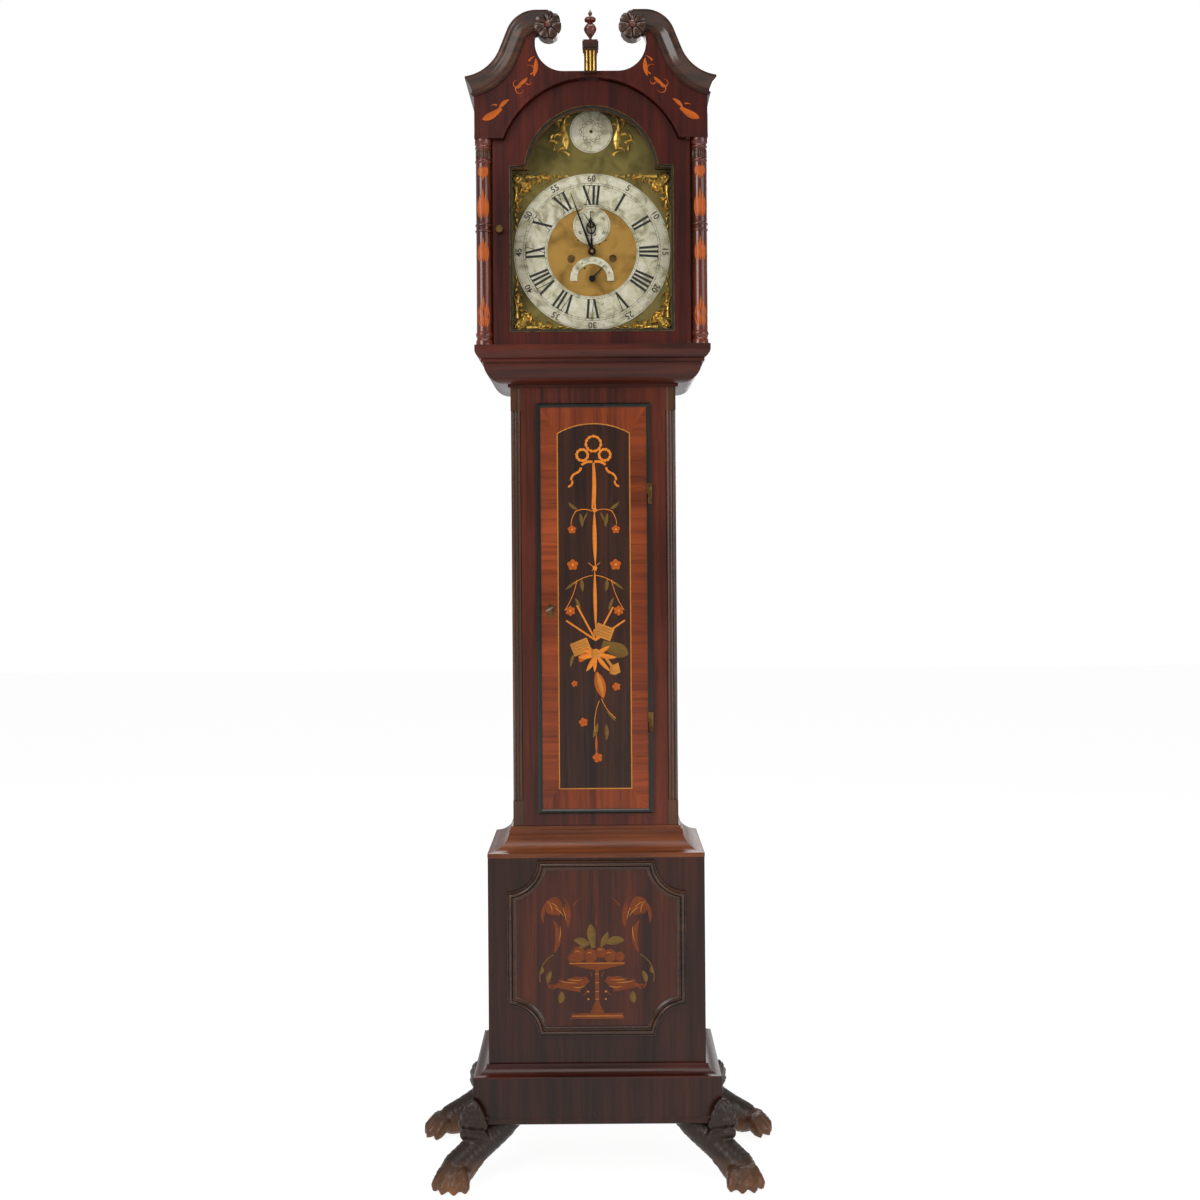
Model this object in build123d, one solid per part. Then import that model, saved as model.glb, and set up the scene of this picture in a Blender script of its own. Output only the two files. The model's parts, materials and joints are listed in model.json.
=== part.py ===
from build123d import *
import math
import os

# Longcase clock: case, sliding hood, two doors, dial, eight-day movement, pendulum and weights.
# Millimetres. +X is to the right as seen from the front, +Y goes back, +Z is up.
# The origin is on the floor, under the middle of the clock's outline.

os.makedirs("parts", exist_ok=True)

# Case: widths and depths
trunk_width = 310.0
case_depth = 190.0
base_width = 399.0
base_projection = 45.0
plinth_width = 453.0
plinth_projection = 71.5
toe_reach = 145.0
toe_spread = 340.0
toe_start = 12.0
toe_length = 45.5
toe_count = 4
toe_fan = 22.0
board = 16.0
side_board = 12.0

# Case: heights, from the floor up
foot_height = 98.0
plinth_height = 83.0
plinth_cap_height = 19.5
base_height = 377.0
waist_height = 51.0
throat_height = 44.0
hood_base_height = 25.0
column_height = 377.0
cheek_height = 85.0

# Case: details
quarter_column_radius = 19.6
quarter_block_height = 46.0
reed_count = 4
throat_projection = 50.0
panel_width = 330.0
panel_height = 322.0
panel_lift = 50.0
panel_corner_radius = 57.0
panel_moulding_width = 17.6
panel_moulding_depth = 9.0
plinth_bead_height = 14.0
plinth_bead_projection = 3.5

# Trunk door
trunk_door_width = 214.0
trunk_door_height = 766.0
trunk_door_lift = 23.5
trunk_door_head = 33.0
bead_width = 8.0
bead_depth = 7.0
bead_lap = 6.0
hinge_length = 38.0
hinge_inset = 170.0
hinge_barrel_radius = 3.0
hinge_leaf_thickness = 1.2
key_shank_radius = 2.2
key_bow_radius = 9.5
key_reach = 20.0
bolt_throw = 9.0
bolt_height = 18.0

# Hood
hood_width = 427.0
hood_projection = 59.0
hood_board = 14.0
hood_lip = 2.5
roof_thickness = 10.0
column_radius = 13.8
column_ring_radius = 15.3
column_inset = 14.6
column_sides = 14
door_half_width = 181.0
door_face_setback = 9.0
door_thickness = 19.0
door_arch_radius = 171.0
glass_arch_radius = 124.5
glass_half_width = 151.0
glass_bottom_lift = 24.0
glass_thickness = 2.5
arch_centre_lift = 315.0
mask_thickness = 12.0
knob_radius = 7.0
knob_stem = 2.0
knob_drop = 63.0

# Pediment
cornice_projection = 15.4
cornice_lift = 109.0
neck_band = 34.0
neck_low_radius = 80.0
neck_high_radius = 57.0
neck_run = 38.0
neck_low_angle = 8.0
neck_steep_angle = 68.0
rosette_offset = 77.0
rosette_radius = 27.0
rosette_thickness = 14.0
rosette_petals = 7
scoop_offset = 50.0
scoop_radius = 51.5
finial_plinth_width = 23.0
finial_plinth_height = 45.0
finial_height = 60.0

# Dial
dial_size = 304.8
dial_thickness = 3.0
dial_setback = 48.0
dial_centre_lift = 180.4
dial_arch_radius = 121.0
dial_arch_lift = 140.0
chapter_outer_radius = 146.0
chapter_inner_radius = 83.5
ring_thickness = 1.5
seconds_offset = 48.8
seconds_radius = 35.0
winding_offset = 38.8
winding_drop = 12.4
winding_hole_radius = 5.5
boss_radius = 39.8
boss_lift = 224.6
date_drop = 50.0
date_radius = 41.0
date_band = 13.0
mount_thickness = 3.0
hour_hand_length = 76.0
minute_hand_length = 116.0
seconds_hand_length = 28.0
minute_reading = 56.7

# Movement
plate_gap = 62.0
plate_thickness = 2.5
plate_width = 132.0
plate_height = 190.0
plate_setback = 28.0
pillar_radius = 5.0
pillar_inset = 24.0
seat_thickness = 20.0
seat_depth = 82.0
great_teeth = 96
centre_pinion_leaves = 8
centre_teeth = 60
third_pinion_leaves = 8
third_teeth = 56
escape_pinion_leaves = 7
escape_teeth = 30
escape_radius = 21.0
motion_teeth = 24
minute_pinion_leaves = 6
hour_teeth = 72
strike_teeth = 84
pin_wheel_teeth = 54
pin_wheel_leaves = 8
train_fold = 1.047
tooth_tip = 0.75
tooth_root = 1.5
rim_width = 1.6
wheel_arms = 4
arm_width = 3.0
motion_module = 1.05
wheel_thickness = 2.0
arbor_radius = 1.6
minute_post_radius = 1.2
barrel_radius = 21.0
barrel_length = 34.0
anchor_rise = 29.7
bell_radius = 46.0
bell_height = 30.0

# Pendulum and weights
pendulum_length = 994.0
bob_radius = 54.0
bob_thickness = 26.0
rod_radius = 2.6
crutch_drop = 150.0
weight_radius = 32.0
weight_height = 205.0
weight_floor_gap = 22.0
pulley_radius = 17.0
pulley_thickness = 8.0
line_radius = 0.9

# Clearances
slide_gap = 0.3
door_gap = 1.0
running_gap = 0.08
wheel_gap = 1.2
hand_gap = 1.3
ring_gap = 0.8

# Planes and levels worked out from the sizes above
trunk_front = (toe_reach - case_depth) / 2
back = trunk_front + case_depth
half_trunk = trunk_width / 2
half_base = base_width / 2
half_plinth = plinth_width / 2
half_hood = hood_width / 2
base_front = trunk_front - base_projection
plinth_front = trunk_front - plinth_projection
hood_front = trunk_front - hood_projection
plinth_top = foot_height + plinth_height
base_bottom = plinth_top + plinth_cap_height
base_top = base_bottom + base_height
trunk_bottom = base_top + waist_height
trunk_height = trunk_door_lift + trunk_door_height + trunk_door_head
trunk_top = trunk_bottom + trunk_height
throat_top = trunk_top + throat_height
hood_floor = throat_top + hood_base_height
capital_top = hood_floor + column_height
arch_centre = hood_floor + arch_centre_lift
cornice_top = capital_top + cornice_lift
dial_front = hood_front + door_face_setback + dial_setback
dial_back = dial_front + dial_thickness
dial_centre = hood_floor + dial_centre_lift
backboard_front = back - board
half_opening = trunk_door_width / 2 - bead_lap
door_bottom = trunk_bottom + trunk_door_lift
door_top = door_bottom + trunk_door_height
seat_bottom = throat_top + cheek_height
seat_top = seat_bottom + seat_thickness
plate_front = dial_back + plate_setback
plate_back = plate_front + plate_thickness + plate_gap
winding_level = dial_centre - winding_drop
seconds_level = dial_centre + seconds_offset
anchor_level = seconds_level + anchor_rise
door_face = hood_front + door_face_setback
door_back = door_face + door_thickness
mask_front = door_back + door_gap


def block(x, y, z):
    """A rectangular piece between two limits along each axis."""
    size = [high - low for low, high in (x, y, z)]
    centre = [(high + low) / 2 for low, high in (x, y, z)]
    return Pos(*centre) * Box(*size)


def upright(face, front, rear):
    """Give a face drawn as seen from the front its thickness, between two depths."""
    return Plane.XZ.offset(-rear) * extrude(face, amount=rear - front)


def outline(*points):
    """A flat face with straight edges through the given points."""
    return make_face(Polyline(*points, close=True))


def disc(radius, front, rear, x=0.0, z=0.0):
    """A round piece on an axis that runs from front to back."""
    return upright(Pos(x, z) * Circle(radius), front, rear)


def rod(radius, front, rear, x=0.0, z=0.0, sides=10):
    """A slender turned rod on an axis that runs from front to back, in flat facets."""
    return upright(Pos(x, z) * RegularPolygon(radius, sides), front, rear)


def tube(outer, inner, front, rear, x=0.0, z=0.0):
    """A round piece with a round hole, on an axis that runs from front to back."""
    return upright(Pos(x, z) * (Circle(outer) - Circle(inner)), front, rear)


def faceted(rings):
    """A solid with flat sides, through rings of corners that keep their directions."""
    faces = [Face(Wire.make_polygon(ring, close=True)) for ring in (rings[0], rings[-1])]
    for low, high in zip(rings, rings[1:]):
        for corner in range(len(low)):
            after = (corner + 1) % len(low)
            side = [low[corner], low[after], high[after], high[corner]]
            faces.append(Face(Wire.make_polygon(side, close=True)))
    return Solid(Shell(faces))


def corner_ring(place, sides, radius):
    """The corners of a regular polygon, first corner half a side round, on a plane."""
    turns = [(corner + 0.5) * 2 * math.pi / sides for corner in range(sides)]
    return [place.from_local_coords((radius * math.cos(turn), radius * math.sin(turn), 0)) for turn in turns]


def turned(points, x=0.0, y=0.0, z=0.0, sides=16):
    """Turned work on an upright axis, from (radius, height) points, in flat facets."""
    return faceted([corner_ring(Plane((x, y, z + height)), sides, radius) for radius, height in points])


def both_sides(piece):
    """The right-hand piece and its mirror image on the left."""
    return [piece, mirror(piece, about=Plane.YZ)]


def save(name, *pieces):
    """Write one node's solids to its own file."""
    solids = [solid for piece in pieces for solid in piece.solids()]
    shape = solids[0] if len(solids) == 1 else Compound(solids)
    export_step(shape, f"parts/{name}.step")


def three_sided(profile, half_width, front, reach, inner=0.0):
    """Run a moulding along the front and both sides, mitred at the front corners.

    The profile is drawn as (distance out from the wall, height), from inner inside the wall
    to reach outside it.
    """
    run = half_width + reach
    along_front = extrude(Plane((0, front, 0), x_dir=(0, -1, 0), z_dir=(-1, 0, 0)) * profile, run, both=True)
    middle = (front - reach + back) / 2
    along_side = extrude(
        Plane((half_width, middle, 0), x_dir=(1, 0, 0), z_dir=(0, -1, 0)) * profile,
        back - middle,
        both=True,
    )
    height = 3 * (throat_top + capital_top)
    turn = (half_width - inner, front + inner)
    front_plan = outline((-turn[0], turn[1]), turn, (run, front - reach), (-run, front - reach))
    side_plan = outline(turn, (run, front - reach), (run, back), (turn[0], back))
    length = along_front & extrude(front_plan, height)
    return [length, *both_sides(along_side & extrude(side_plan, height))]


def toothed(teeth, lead, tooth_points):
    """An outline that repeats one tooth, given as (share of a tooth's pitch, radius) points."""
    points = []
    for tooth in range(teeth):
        for share, radius in tooth_points:
            angle = lead + (tooth + share) * 2 * math.pi / teeth
            points.append((radius * math.cos(angle), radius * math.sin(angle)))
    return outline(*points)


def tooth_ring(teeth, module, lead):
    """The outline of a toothed wheel, with slender pointed teeth."""
    pitch_radius = teeth * module / 2
    root = pitch_radius - tooth_root * module
    tip = pitch_radius + tooth_tip * module
    return toothed(teeth, lead, [(-0.5, root), (0.0, tip)])


def crossings(rim, hub, arms, arm_width):
    """The openings between a wheel's arms, with straight sides."""
    gaps = RegularPolygon(rim, 3 * arms) - RegularPolygon(hub, arms)
    for arm in range(arms):
        gaps -= Rot(0, 0, 360 * arm / arms) * Pos(rim / 2, 0) * Rectangle(rim + 1, arm_width)
    return gaps


def wheel_face(teeth, module, lead):
    """A brass wheel: many teeth, a thin rim and four arms."""
    rim = teeth * module / 2 - (tooth_root + 1.0) * module - rim_width
    return tooth_ring(teeth, module, lead) - crossings(rim, 0.28 * rim, wheel_arms, arm_width)


def pinion_face(leaves, module, lead):
    """A steel pinion: a few narrow leaves with wide gaps between them."""
    root = leaves * module / 2 - 1.25 * module
    tip = leaves * module / 2 + 0.7 * module
    return toothed(leaves, lead, [(-0.5, root), (-0.07, tip), (0.07, tip)])


# Case: boards
half_ears = half_hood - hood_board - door_gap
ear_low = hood_floor + slide_gap
roof_low = cornice_top - roof_thickness
backboard_outline = outline(
    (-half_base, foot_height),
    (half_base, foot_height),
    (half_base, base_top),
    (half_trunk, base_top),
    (half_trunk, ear_low),
    (half_ears, ear_low),
    (half_ears, roof_low - door_gap),
    (-half_ears, roof_low - door_gap),
    (-half_ears, ear_low),
    (-half_trunk, ear_low),
    (-half_trunk, base_top),
    (-half_base, base_top),
)
save("backboard", upright(backboard_outline, backboard_front, back))

side_foot = base_top - 60.0
trunk_side = block(
    (half_trunk - side_board, half_trunk),
    (trunk_front + quarter_column_radius, backboard_front),
    (side_foot, seat_bottom),
)
save("trunk_sides", *both_sides(trunk_side))

frame_edge = half_trunk - quarter_column_radius
bolt_level = (door_bottom + door_top) / 2
stile = block((half_opening, frame_edge), (trunk_front, trunk_front + board), (trunk_bottom, throat_top))
hinge_levels = [door_bottom + hinge_inset, door_top - hinge_inset]
leaf_depth = board - 2.0
for level in hinge_levels:
    stile -= block(
        (half_opening, half_opening + hinge_leaf_thickness),
        (trunk_front, trunk_front + leaf_depth),
        (level - hinge_length / 2, level + hinge_length / 2),
    )
bolt_depth = (trunk_front + 4.0, trunk_front + 8.0)
bolt_slot = block(
    (-half_opening - bolt_throw - 1.0, -half_opening),
    (bolt_depth[0] - 0.5, bolt_depth[1] + 0.5),
    (bolt_level - bolt_height / 2 - 0.5, bolt_level + bolt_height / 2 + 0.5),
)
left_stile = block((-frame_edge, -half_opening), (trunk_front, trunk_front + board), (trunk_bottom, throat_top))
rails = [
    block((-half_opening, half_opening), (trunk_front, trunk_front + board), limits)
    for limits in (
        (trunk_bottom, door_bottom + bead_lap),
        (door_top - bead_lap, throat_top),
    )
]
save("trunk_front_frame", stile, left_stile - bolt_slot, *rails)

corner = (half_trunk - quarter_column_radius, trunk_front + quarter_column_radius)
quarter = Circle(quarter_column_radius - 2.4)
for reed in range(reed_count):
    angle = math.radians(-90 * (reed + 0.5) / reed_count)
    reach = quarter_column_radius - 3.4
    quarter += Pos(reach * math.cos(angle), reach * math.sin(angle)) * RegularPolygon(3.3, 12)
quarter &= Pos(quarter_column_radius / 2, -quarter_column_radius / 2) * Rectangle(
    quarter_column_radius, quarter_column_radius
)
reeds = Pos(corner[0], corner[1], trunk_bottom) * extrude(quarter, throat_top - trunk_bottom)
block_side = (corner[0], half_trunk - 0.6)
block_front = (trunk_front + 0.6, corner[1])
for low, high in (
    (trunk_bottom, trunk_bottom + quarter_block_height),
    (trunk_top - quarter_block_height, throat_top),
):
    reeds += block(block_side, block_front, (low, high))
save("quarter_columns", *both_sides(reeds))

cove = make_face(
    [
        Polyline(
            (0, throat_top),
            (0, trunk_top - 3),
            (4, trunk_top - 3),
            (4, trunk_top + 3),
        ),
        SagittaArc((4, trunk_top + 3), (throat_projection - 4, throat_top - 6), -13.0),
        Polyline(
            (throat_projection - 4, throat_top - 6),
            (throat_projection, throat_top - 6),
            (throat_projection, throat_top),
            (0, throat_top),
        ),
    ]
)
save("throat_moulding", *three_sided(cove, half_trunk, trunk_front, throat_projection))

waist_cove = make_face(
    [
        Polyline(
            (0, trunk_bottom),
            (0, base_top),
            (base_projection, base_top),
            (base_projection, base_top + 8),
            (base_projection - 5, base_top + 9),
        ),
        SagittaArc((base_projection - 5, base_top + 9), (7, trunk_bottom - 12), 8.0),
        Polyline((7, trunk_bottom - 12), (7, trunk_bottom - 7), (3.5, trunk_bottom - 5), (3.5, trunk_bottom), (0, trunk_bottom)),
    ]
)
save("waist_moulding", *three_sided(waist_cove, half_trunk, trunk_front, base_projection))

base_front_board = block((-half_base, half_base), (base_front, base_front + board), (foot_height, base_top))
base_side = block((half_base - board, half_base), (base_front + board, backboard_front), (foot_height, base_top))
save("base_boards", base_front_board, *both_sides(base_side))


def panel_outline(inset):
    """A panel with scooped corners, set in from the moulding's outer edge."""
    width = panel_width - 2 * inset
    height = panel_height - 2 * inset
    face = Rectangle(width, height)
    for x, y in ((1, 1), (1, -1), (-1, 1), (-1, -1)):
        face -= Pos(x * width / 2, y * height / 2) * RegularPolygon(panel_corner_radius + inset, 32)
    return face


panel_level = base_bottom + panel_lift + panel_height / 2
panel_moulding = []
for outer_share, inner_share, low, high in ((0.0, 1.0, 0.0, 0.45), (0.2, 0.7, 0.45, 1.0)):
    ring = panel_outline(outer_share * panel_moulding_width) - panel_outline(inner_share * panel_moulding_width)
    panel_moulding.append(
        upright(
            Pos(0, panel_level) * ring,
            base_front - high * panel_moulding_depth,
            base_front - low * panel_moulding_depth,
        )
    )
save("base_panel_moulding", panel_moulding[0] + panel_moulding[1])

plinth_thickness = plinth_projection - base_projection
plinth_bar = Pos(plinth_thickness / 2, foot_height + plinth_height / 2) * Rectangle(plinth_thickness, plinth_height)
plinth_bead = outline(
    (plinth_thickness, foot_height),
    (plinth_thickness + plinth_bead_projection, foot_height + 2),
    (plinth_thickness + plinth_bead_projection, foot_height + plinth_bead_height - 4),
    (plinth_thickness, foot_height + plinth_bead_height),
)
save(
    "plinth",
    *three_sided(plinth_bar + plinth_bead, half_base, base_front, plinth_thickness + plinth_bead_projection),
)

plinth_cap = make_face(
    [
        Polyline(
            (0, base_bottom),
            (0, plinth_top),
            (plinth_thickness, plinth_top),
            (plinth_thickness, plinth_top + 3),
        ),
        SagittaArc((plinth_thickness, plinth_top + 3), (4, base_bottom - 4), 4.0),
        Polyline((4, base_bottom - 4), (4, base_bottom), (0, base_bottom)),
    ]
)
save("plinth_moulding", *three_sided(plinth_cap, half_base, base_front, plinth_thickness))

bottom_board = block(
    (-half_base + board, half_base - board), (base_front + board, backboard_front), (foot_height, foot_height + board)
)
side_packing = block(
    (half_trunk, half_base - board), (trunk_front + quarter_column_radius, backboard_front), (side_foot, base_top)
)
front_packing = block(
    (-half_base + board, half_base - board), (base_front + board, trunk_front + quarter_column_radius), (side_foot, base_top)
)
save("carcass_blocks", bottom_board, *both_sides(side_packing), front_packing)


# Feet
def cut_corners(place, width, depth):
    """The corners of a rectangle on a plane, each one cut off."""
    cut = 0.28 * min(width, depth)
    corners = []
    for x, y in ((1, 1), (-1, 1), (-1, -1), (1, -1)):
        along = (x * (width / 2 - cut), y * depth / 2, 0)
        up = (x * width / 2, y * (depth / 2 - cut), 0)
        corners += [up, along] if x == y else [along, up]
    return [place.from_local_coords(corner) for corner in corners]


def paw_foot(root, paw, heading, knee):
    """A carved paw under one corner: a leg that curves out, four toes in a fan and a leafy knee."""
    across = (-math.sin(heading), math.cos(heading), 0)
    out = (math.cos(heading), math.sin(heading))
    sections = []
    for share, height, width, depth in (
        (0.0, foot_height, 92.0, 60.0),
        (0.42, 0.66 * foot_height, 72.0, 56.0),
        (0.85, 0.34 * foot_height, 56.0, 54.0),
        (1.0, 0.0, 64.0, 58.0),
    ):
        x = root[0] + share * (paw[0] - root[0])
        y = root[1] + share * (paw[1] - root[1])
        sections.append(cut_corners(Plane((x, y, height), x_dir=across, z_dir=(0, 0, 1)), width, depth))
    foot = faceted(sections)
    for toe in range(toe_count):
        turn = heading + math.radians(toe_fan * (toe - (toe_count - 1) / 2))
        ahead = (math.cos(turn), math.sin(turn), 0)
        length = toe_length - 5.0 * (abs(toe - (toe_count - 1) / 2) - 0.5)
        rings = []
        for share, height, radius in ((0.0, 24.0, 14.0), (0.5, 20.5, 14.0), (0.85, 13.0, 11.5), (1.0, 8.0, 6.5)):
            run = toe_start + share * length
            place = Plane(
                (paw[0] + run * ahead[0], paw[1] + run * ahead[1], height),
                x_dir=(-ahead[1], ahead[0], 0),
                z_dir=ahead,
            )
            rings.append(corner_ring(place, 8, radius))
        foot += faceted(rings)
    leaf = [
        cut_corners(
            Plane((knee[0] + share * out[0], knee[1] + share * out[1], height), x_dir=across, z_dir=(0, 0, 1)),
            width,
            width,
        )
        for share, height, width in (
            (0.0, foot_height - 22.0, 40.0),
            (6.0, foot_height + 14.0, 46.0),
            (2.0, foot_height + 44.0, 18.0),
        )
    ]
    foot += faceted(leaf)
    plinth_reach = half_plinth + plinth_bead_projection
    plinth_space = block(
        (-plinth_reach, plinth_reach), (plinth_front - plinth_bead_projection, back), (foot_height, base_bottom)
    )
    above_floor = block((-toe_spread, toe_spread), (-2 * case_depth, 2 * case_depth), (0, base_bottom))
    return (foot - plinth_space) & above_floor


toe_total = toe_start + toe_length
front_foot = paw_foot(
    root=(half_plinth - 46.0, plinth_front + 36.0),
    paw=(half_plinth + 28.0, trunk_front - toe_reach + toe_total),
    heading=math.radians(-78),
    knee=(half_plinth - 2.0, plinth_front - 4.0),
)
rear_foot = paw_foot(
    root=(half_plinth - 30.0, back - 60.0),
    paw=(toe_spread - toe_total * math.cos(math.radians(toe_fan / 2)), back - 48.0),
    heading=math.radians(-toe_fan),
    knee=(half_plinth + 4.0, back - 66.0),
)
save("paw_feet", *both_sides(front_foot), *both_sides(rear_foot))

# Trunk door
lip_back = trunk_front - slide_gap
panel_edge = half_opening - door_gap - 0.8
door_shell = block(
    (-panel_edge, panel_edge),
    (lip_back - bead_depth + 3.5, trunk_front + board - 2.0),
    (door_bottom + bead_lap + 1.8, door_top - bead_lap - 1.8),
)
pivot_x = trunk_door_width / 2 - 1.0
pivot_y = trunk_front - 6.5
bead_outer = Pos(0, (door_bottom + door_top) / 2) * Rectangle(trunk_door_width, trunk_door_height)
bead_inner = Pos(0, (door_bottom + door_top) / 2) * Rectangle(2 * panel_edge, trunk_door_height - 2 * bead_lap - 3.6)
bead = upright(bead_outer - bead_inner, lip_back - bead_depth, lip_back)
bead = chamfer(bead.edges().group_by(Axis.Y)[0], 2.2)
for level in hinge_levels:
    bead -= block(
        (panel_edge, trunk_door_width / 2 + 1),
        (lip_back - bead_depth - 1, lip_back + 1),
        (level - hinge_length / 2 - 0.5, level + hinge_length / 2 + 0.5),
    )
save("trunk_door_bead", bead)

fixed_leaves = []
moving_leaves = []
for level in hinge_levels:
    low, middle, high = level - hinge_length / 2, level, level + hinge_length / 2
    fixed_leaf = block(
        (half_opening, half_opening + hinge_leaf_thickness), (pivot_y, trunk_front + leaf_depth), (low, middle - 0.2)
    )
    fixed_arm = block((half_opening, pivot_x), (pivot_y - 1.0, pivot_y + 1.0), (low, middle - 0.2))
    fixed_knuckle = Pos(pivot_x, pivot_y, low) * extrude(RegularPolygon(hinge_barrel_radius, 10), middle - 0.2 - low)
    fixed_leaves.append(fixed_leaf + fixed_arm + fixed_knuckle)
    moving_leaf = block(
        (panel_edge, panel_edge + hinge_leaf_thickness), (pivot_y, trunk_front + leaf_depth), (middle + 0.2, high)
    )
    moving_arm = block((panel_edge, pivot_x), (pivot_y - 1.0, pivot_y + 1.0), (middle + 0.2, high))
    moving_knuckle = Pos(pivot_x, pivot_y, middle + 0.2) * extrude(
        RegularPolygon(hinge_barrel_radius, 10), high - middle - 0.2
    )
    moving_leaves.append(moving_leaf + moving_arm + moving_knuckle)
save("trunk_hinge_leaves", *fixed_leaves)
save("trunk_door_hinges", *moving_leaves)

lock_x = -panel_edge + 17.0
panel_face = lip_back - bead_depth + 3.5
key_hole = rod(key_shank_radius + 0.4, panel_face - 5, trunk_front + board, lock_x, bolt_level)
bolt_channel = block(
    (-panel_edge - 1, lock_x + 12.0),
    (bolt_depth[0] - running_gap, bolt_depth[1] + running_gap),
    (bolt_level - bolt_height / 2 - running_gap, bolt_level + bolt_height / 2 + running_gap),
)
save("trunk_door", door_shell - key_hole - bolt_channel)
plate_face = Pos(lock_x, bolt_level - 5.0) * scale(RegularPolygon(1.0, 16), by=(7.0, 13.0, 1.0))
plate_face -= Pos(lock_x, bolt_level) * RegularPolygon(key_shank_radius + 0.4, 10)
save("escutcheon", upright(plate_face, panel_face - 1.4, panel_face))
bolt_end = lock_x + 12.0 - bolt_throw - 1.0
key_slot = block(
    (lock_x - key_shank_radius - 2.0, bolt_end + 1), (bolt_depth[0] - 1, bolt_depth[1] + 1), (bolt_level - 5.5, bolt_level + 5.5)
)
lock_bolt = block(
    (-panel_edge, bolt_end), bolt_depth, (bolt_level - bolt_height / 2, bolt_level + bolt_height / 2)
)
save("lock_bolt", lock_bolt - key_slot)
bow_front = panel_face - key_reach
key = rod(key_shank_radius, bow_front, bolt_depth[1] - 1.0, lock_x, bolt_level)
bow = RegularPolygon(key_bow_radius, 16) - RegularPolygon(key_bow_radius - 3.0, 16)
key_bow = Pos(lock_x, bow_front - key_bow_radius + 1.5, bolt_level) * Rot(0, -28, 0) * extrude(bow, 1.2, both=True)
save("trunk_key", key + key_bow)

# Hood
hood_base_low = throat_top + slide_gap
rail_depth = 48.0
base_step = throat_projection + half_trunk - half_hood - 1.0
base_profile = make_face(
    [
        Polyline((-rail_depth, hood_floor), (-rail_depth, hood_base_low), (base_step, hood_base_low)),
        SagittaArc((base_step, hood_base_low), (hood_lip, hood_base_low + 14.0), -2.5),
        Polyline((hood_lip, hood_base_low + 14.0), (hood_lip, hood_floor), (-rail_depth, hood_floor)),
    ]
)
pivot_inset = 4.0
pivot_proud = 5.5
hood_pivot_x = door_half_width - pivot_inset
hood_pivot_y = door_face - pivot_proud
pivot_radius = 2.0
pivot_depth = 8.0
hood_base = three_sided(base_profile, half_hood, hood_front, hood_lip, rail_depth)
lower_socket = Pos(hood_pivot_x, hood_pivot_y, hood_floor - pivot_depth / 2) * Cylinder(
    pivot_radius + running_gap, pivot_depth + 0.6
)
save("hood_base", *[length - lower_socket for length in hood_base])

hood_side = block((half_hood - hood_board, half_hood), (mask_front, back), (hood_floor, roof_low))
save("hood_sides", *both_sides(hood_side))
save("hood_roof", block((-half_hood, half_hood), (mask_front, back), (roof_low, cornice_top)))

mask_half_width = dial_size / 2 - 2.5
mask_arch = dial_arch_radius - 3.0
mask_shoulder = dial_centre + dial_size / 2 - 2.5
mask_bottom = dial_centre - dial_size / 2 + 2.5
dial_arch_centre = dial_centre + dial_arch_lift
mask_hole = (
    Pos(0, (mask_bottom + mask_shoulder) / 2) * Rectangle(2 * mask_half_width, mask_shoulder - mask_bottom)
    + Pos(0, dial_arch_centre) * Circle(mask_arch)
)
inner_width = 2 * (half_hood - hood_board)
mask_board = Pos(0, (hood_floor + roof_low) / 2) * Rectangle(inner_width, roof_low - hood_floor)
save("hood_mask", upright(mask_board - mask_hole, mask_front, mask_front + mask_thickness))


def neck_line(start):
    """The swan neck's upper edge: a hollow curve, a steep run, a round shoulder and the rosette."""
    low = math.radians(neck_low_angle)
    rise = neck_steep_angle - neck_low_angle
    hollow = JernArc(start, (-math.cos(low), math.sin(low)), neck_low_radius, -rise)
    steep = math.radians(neck_steep_angle)
    direction = (-math.cos(steep), math.sin(steep))
    top = hollow @ 1 + neck_run * Vector(*direction)
    shoulder = JernArc(top, direction, neck_high_radius, neck_steep_angle)
    end = shoulder @ 1
    return [hollow, Line(hollow @ 1, top), shoulder, Line(end, (rosette_offset, end.Y))]


neck_start = (half_hood + cornice_projection + 1.0, cornice_top)
neck = neck_line(neck_start)
neck_top = (neck[-1] @ 1).Y
rosette_level = neck_top - rosette_radius + 2.0
scoop_level = rosette_level - 30.0
scoop_low = scoop_level - scoop_radius
board_half = make_face(
    [
        *neck,
        Polyline((rosette_offset, neck_top), (rosette_offset, capital_top), (neck_start[0], capital_top), neck_start),
    ]
)
board_half += Pos(rosette_offset / 2, (capital_top + scoop_level) / 2) * Rectangle(
    rosette_offset, scoop_level - capital_top
)
board_half -= Pos(scoop_offset, scoop_level) * Circle(scoop_radius)
board_half -= Pos(scoop_offset / 2, scoop_low + 50.0) * Rectangle(scoop_offset, 100.0)
board_half += Pos(rosette_offset, rosette_level) * RegularPolygon(rosette_radius - 5.0, 16)
board_half &= Pos(half_hood / 2, cornice_top) * Rectangle(half_hood, 2 * column_height)
arch_gap = door_arch_radius + door_gap + 0.5
pediment = board_half + mirror(board_half, about=Plane.YZ)
pediment -= Pos(0, arch_centre) * Circle(arch_gap)
frieze = upright(pediment, hood_front, mask_front)
upper_socket = Pos(hood_pivot_x, hood_pivot_y, capital_top + pivot_depth / 2) * Cylinder(
    pivot_radius + running_gap, pivot_depth + 0.6
)
architrave_height = 6.0
architrave = Pos(0, arch_centre) * (Circle(arch_gap + architrave_height) - Circle(arch_gap))
architrave += Pos(0, capital_top + architrave_height / 2) * Rectangle(2 * half_hood, architrave_height)
architrave -= Pos(0, arch_centre) * Circle(arch_gap)
architrave &= Pos(0, capital_top + column_height / 2) * Rectangle(2 * half_hood, column_height)
save("hood_frieze", frieze - upper_socket, upright(architrave, hood_front - 3.0, hood_front))

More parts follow.
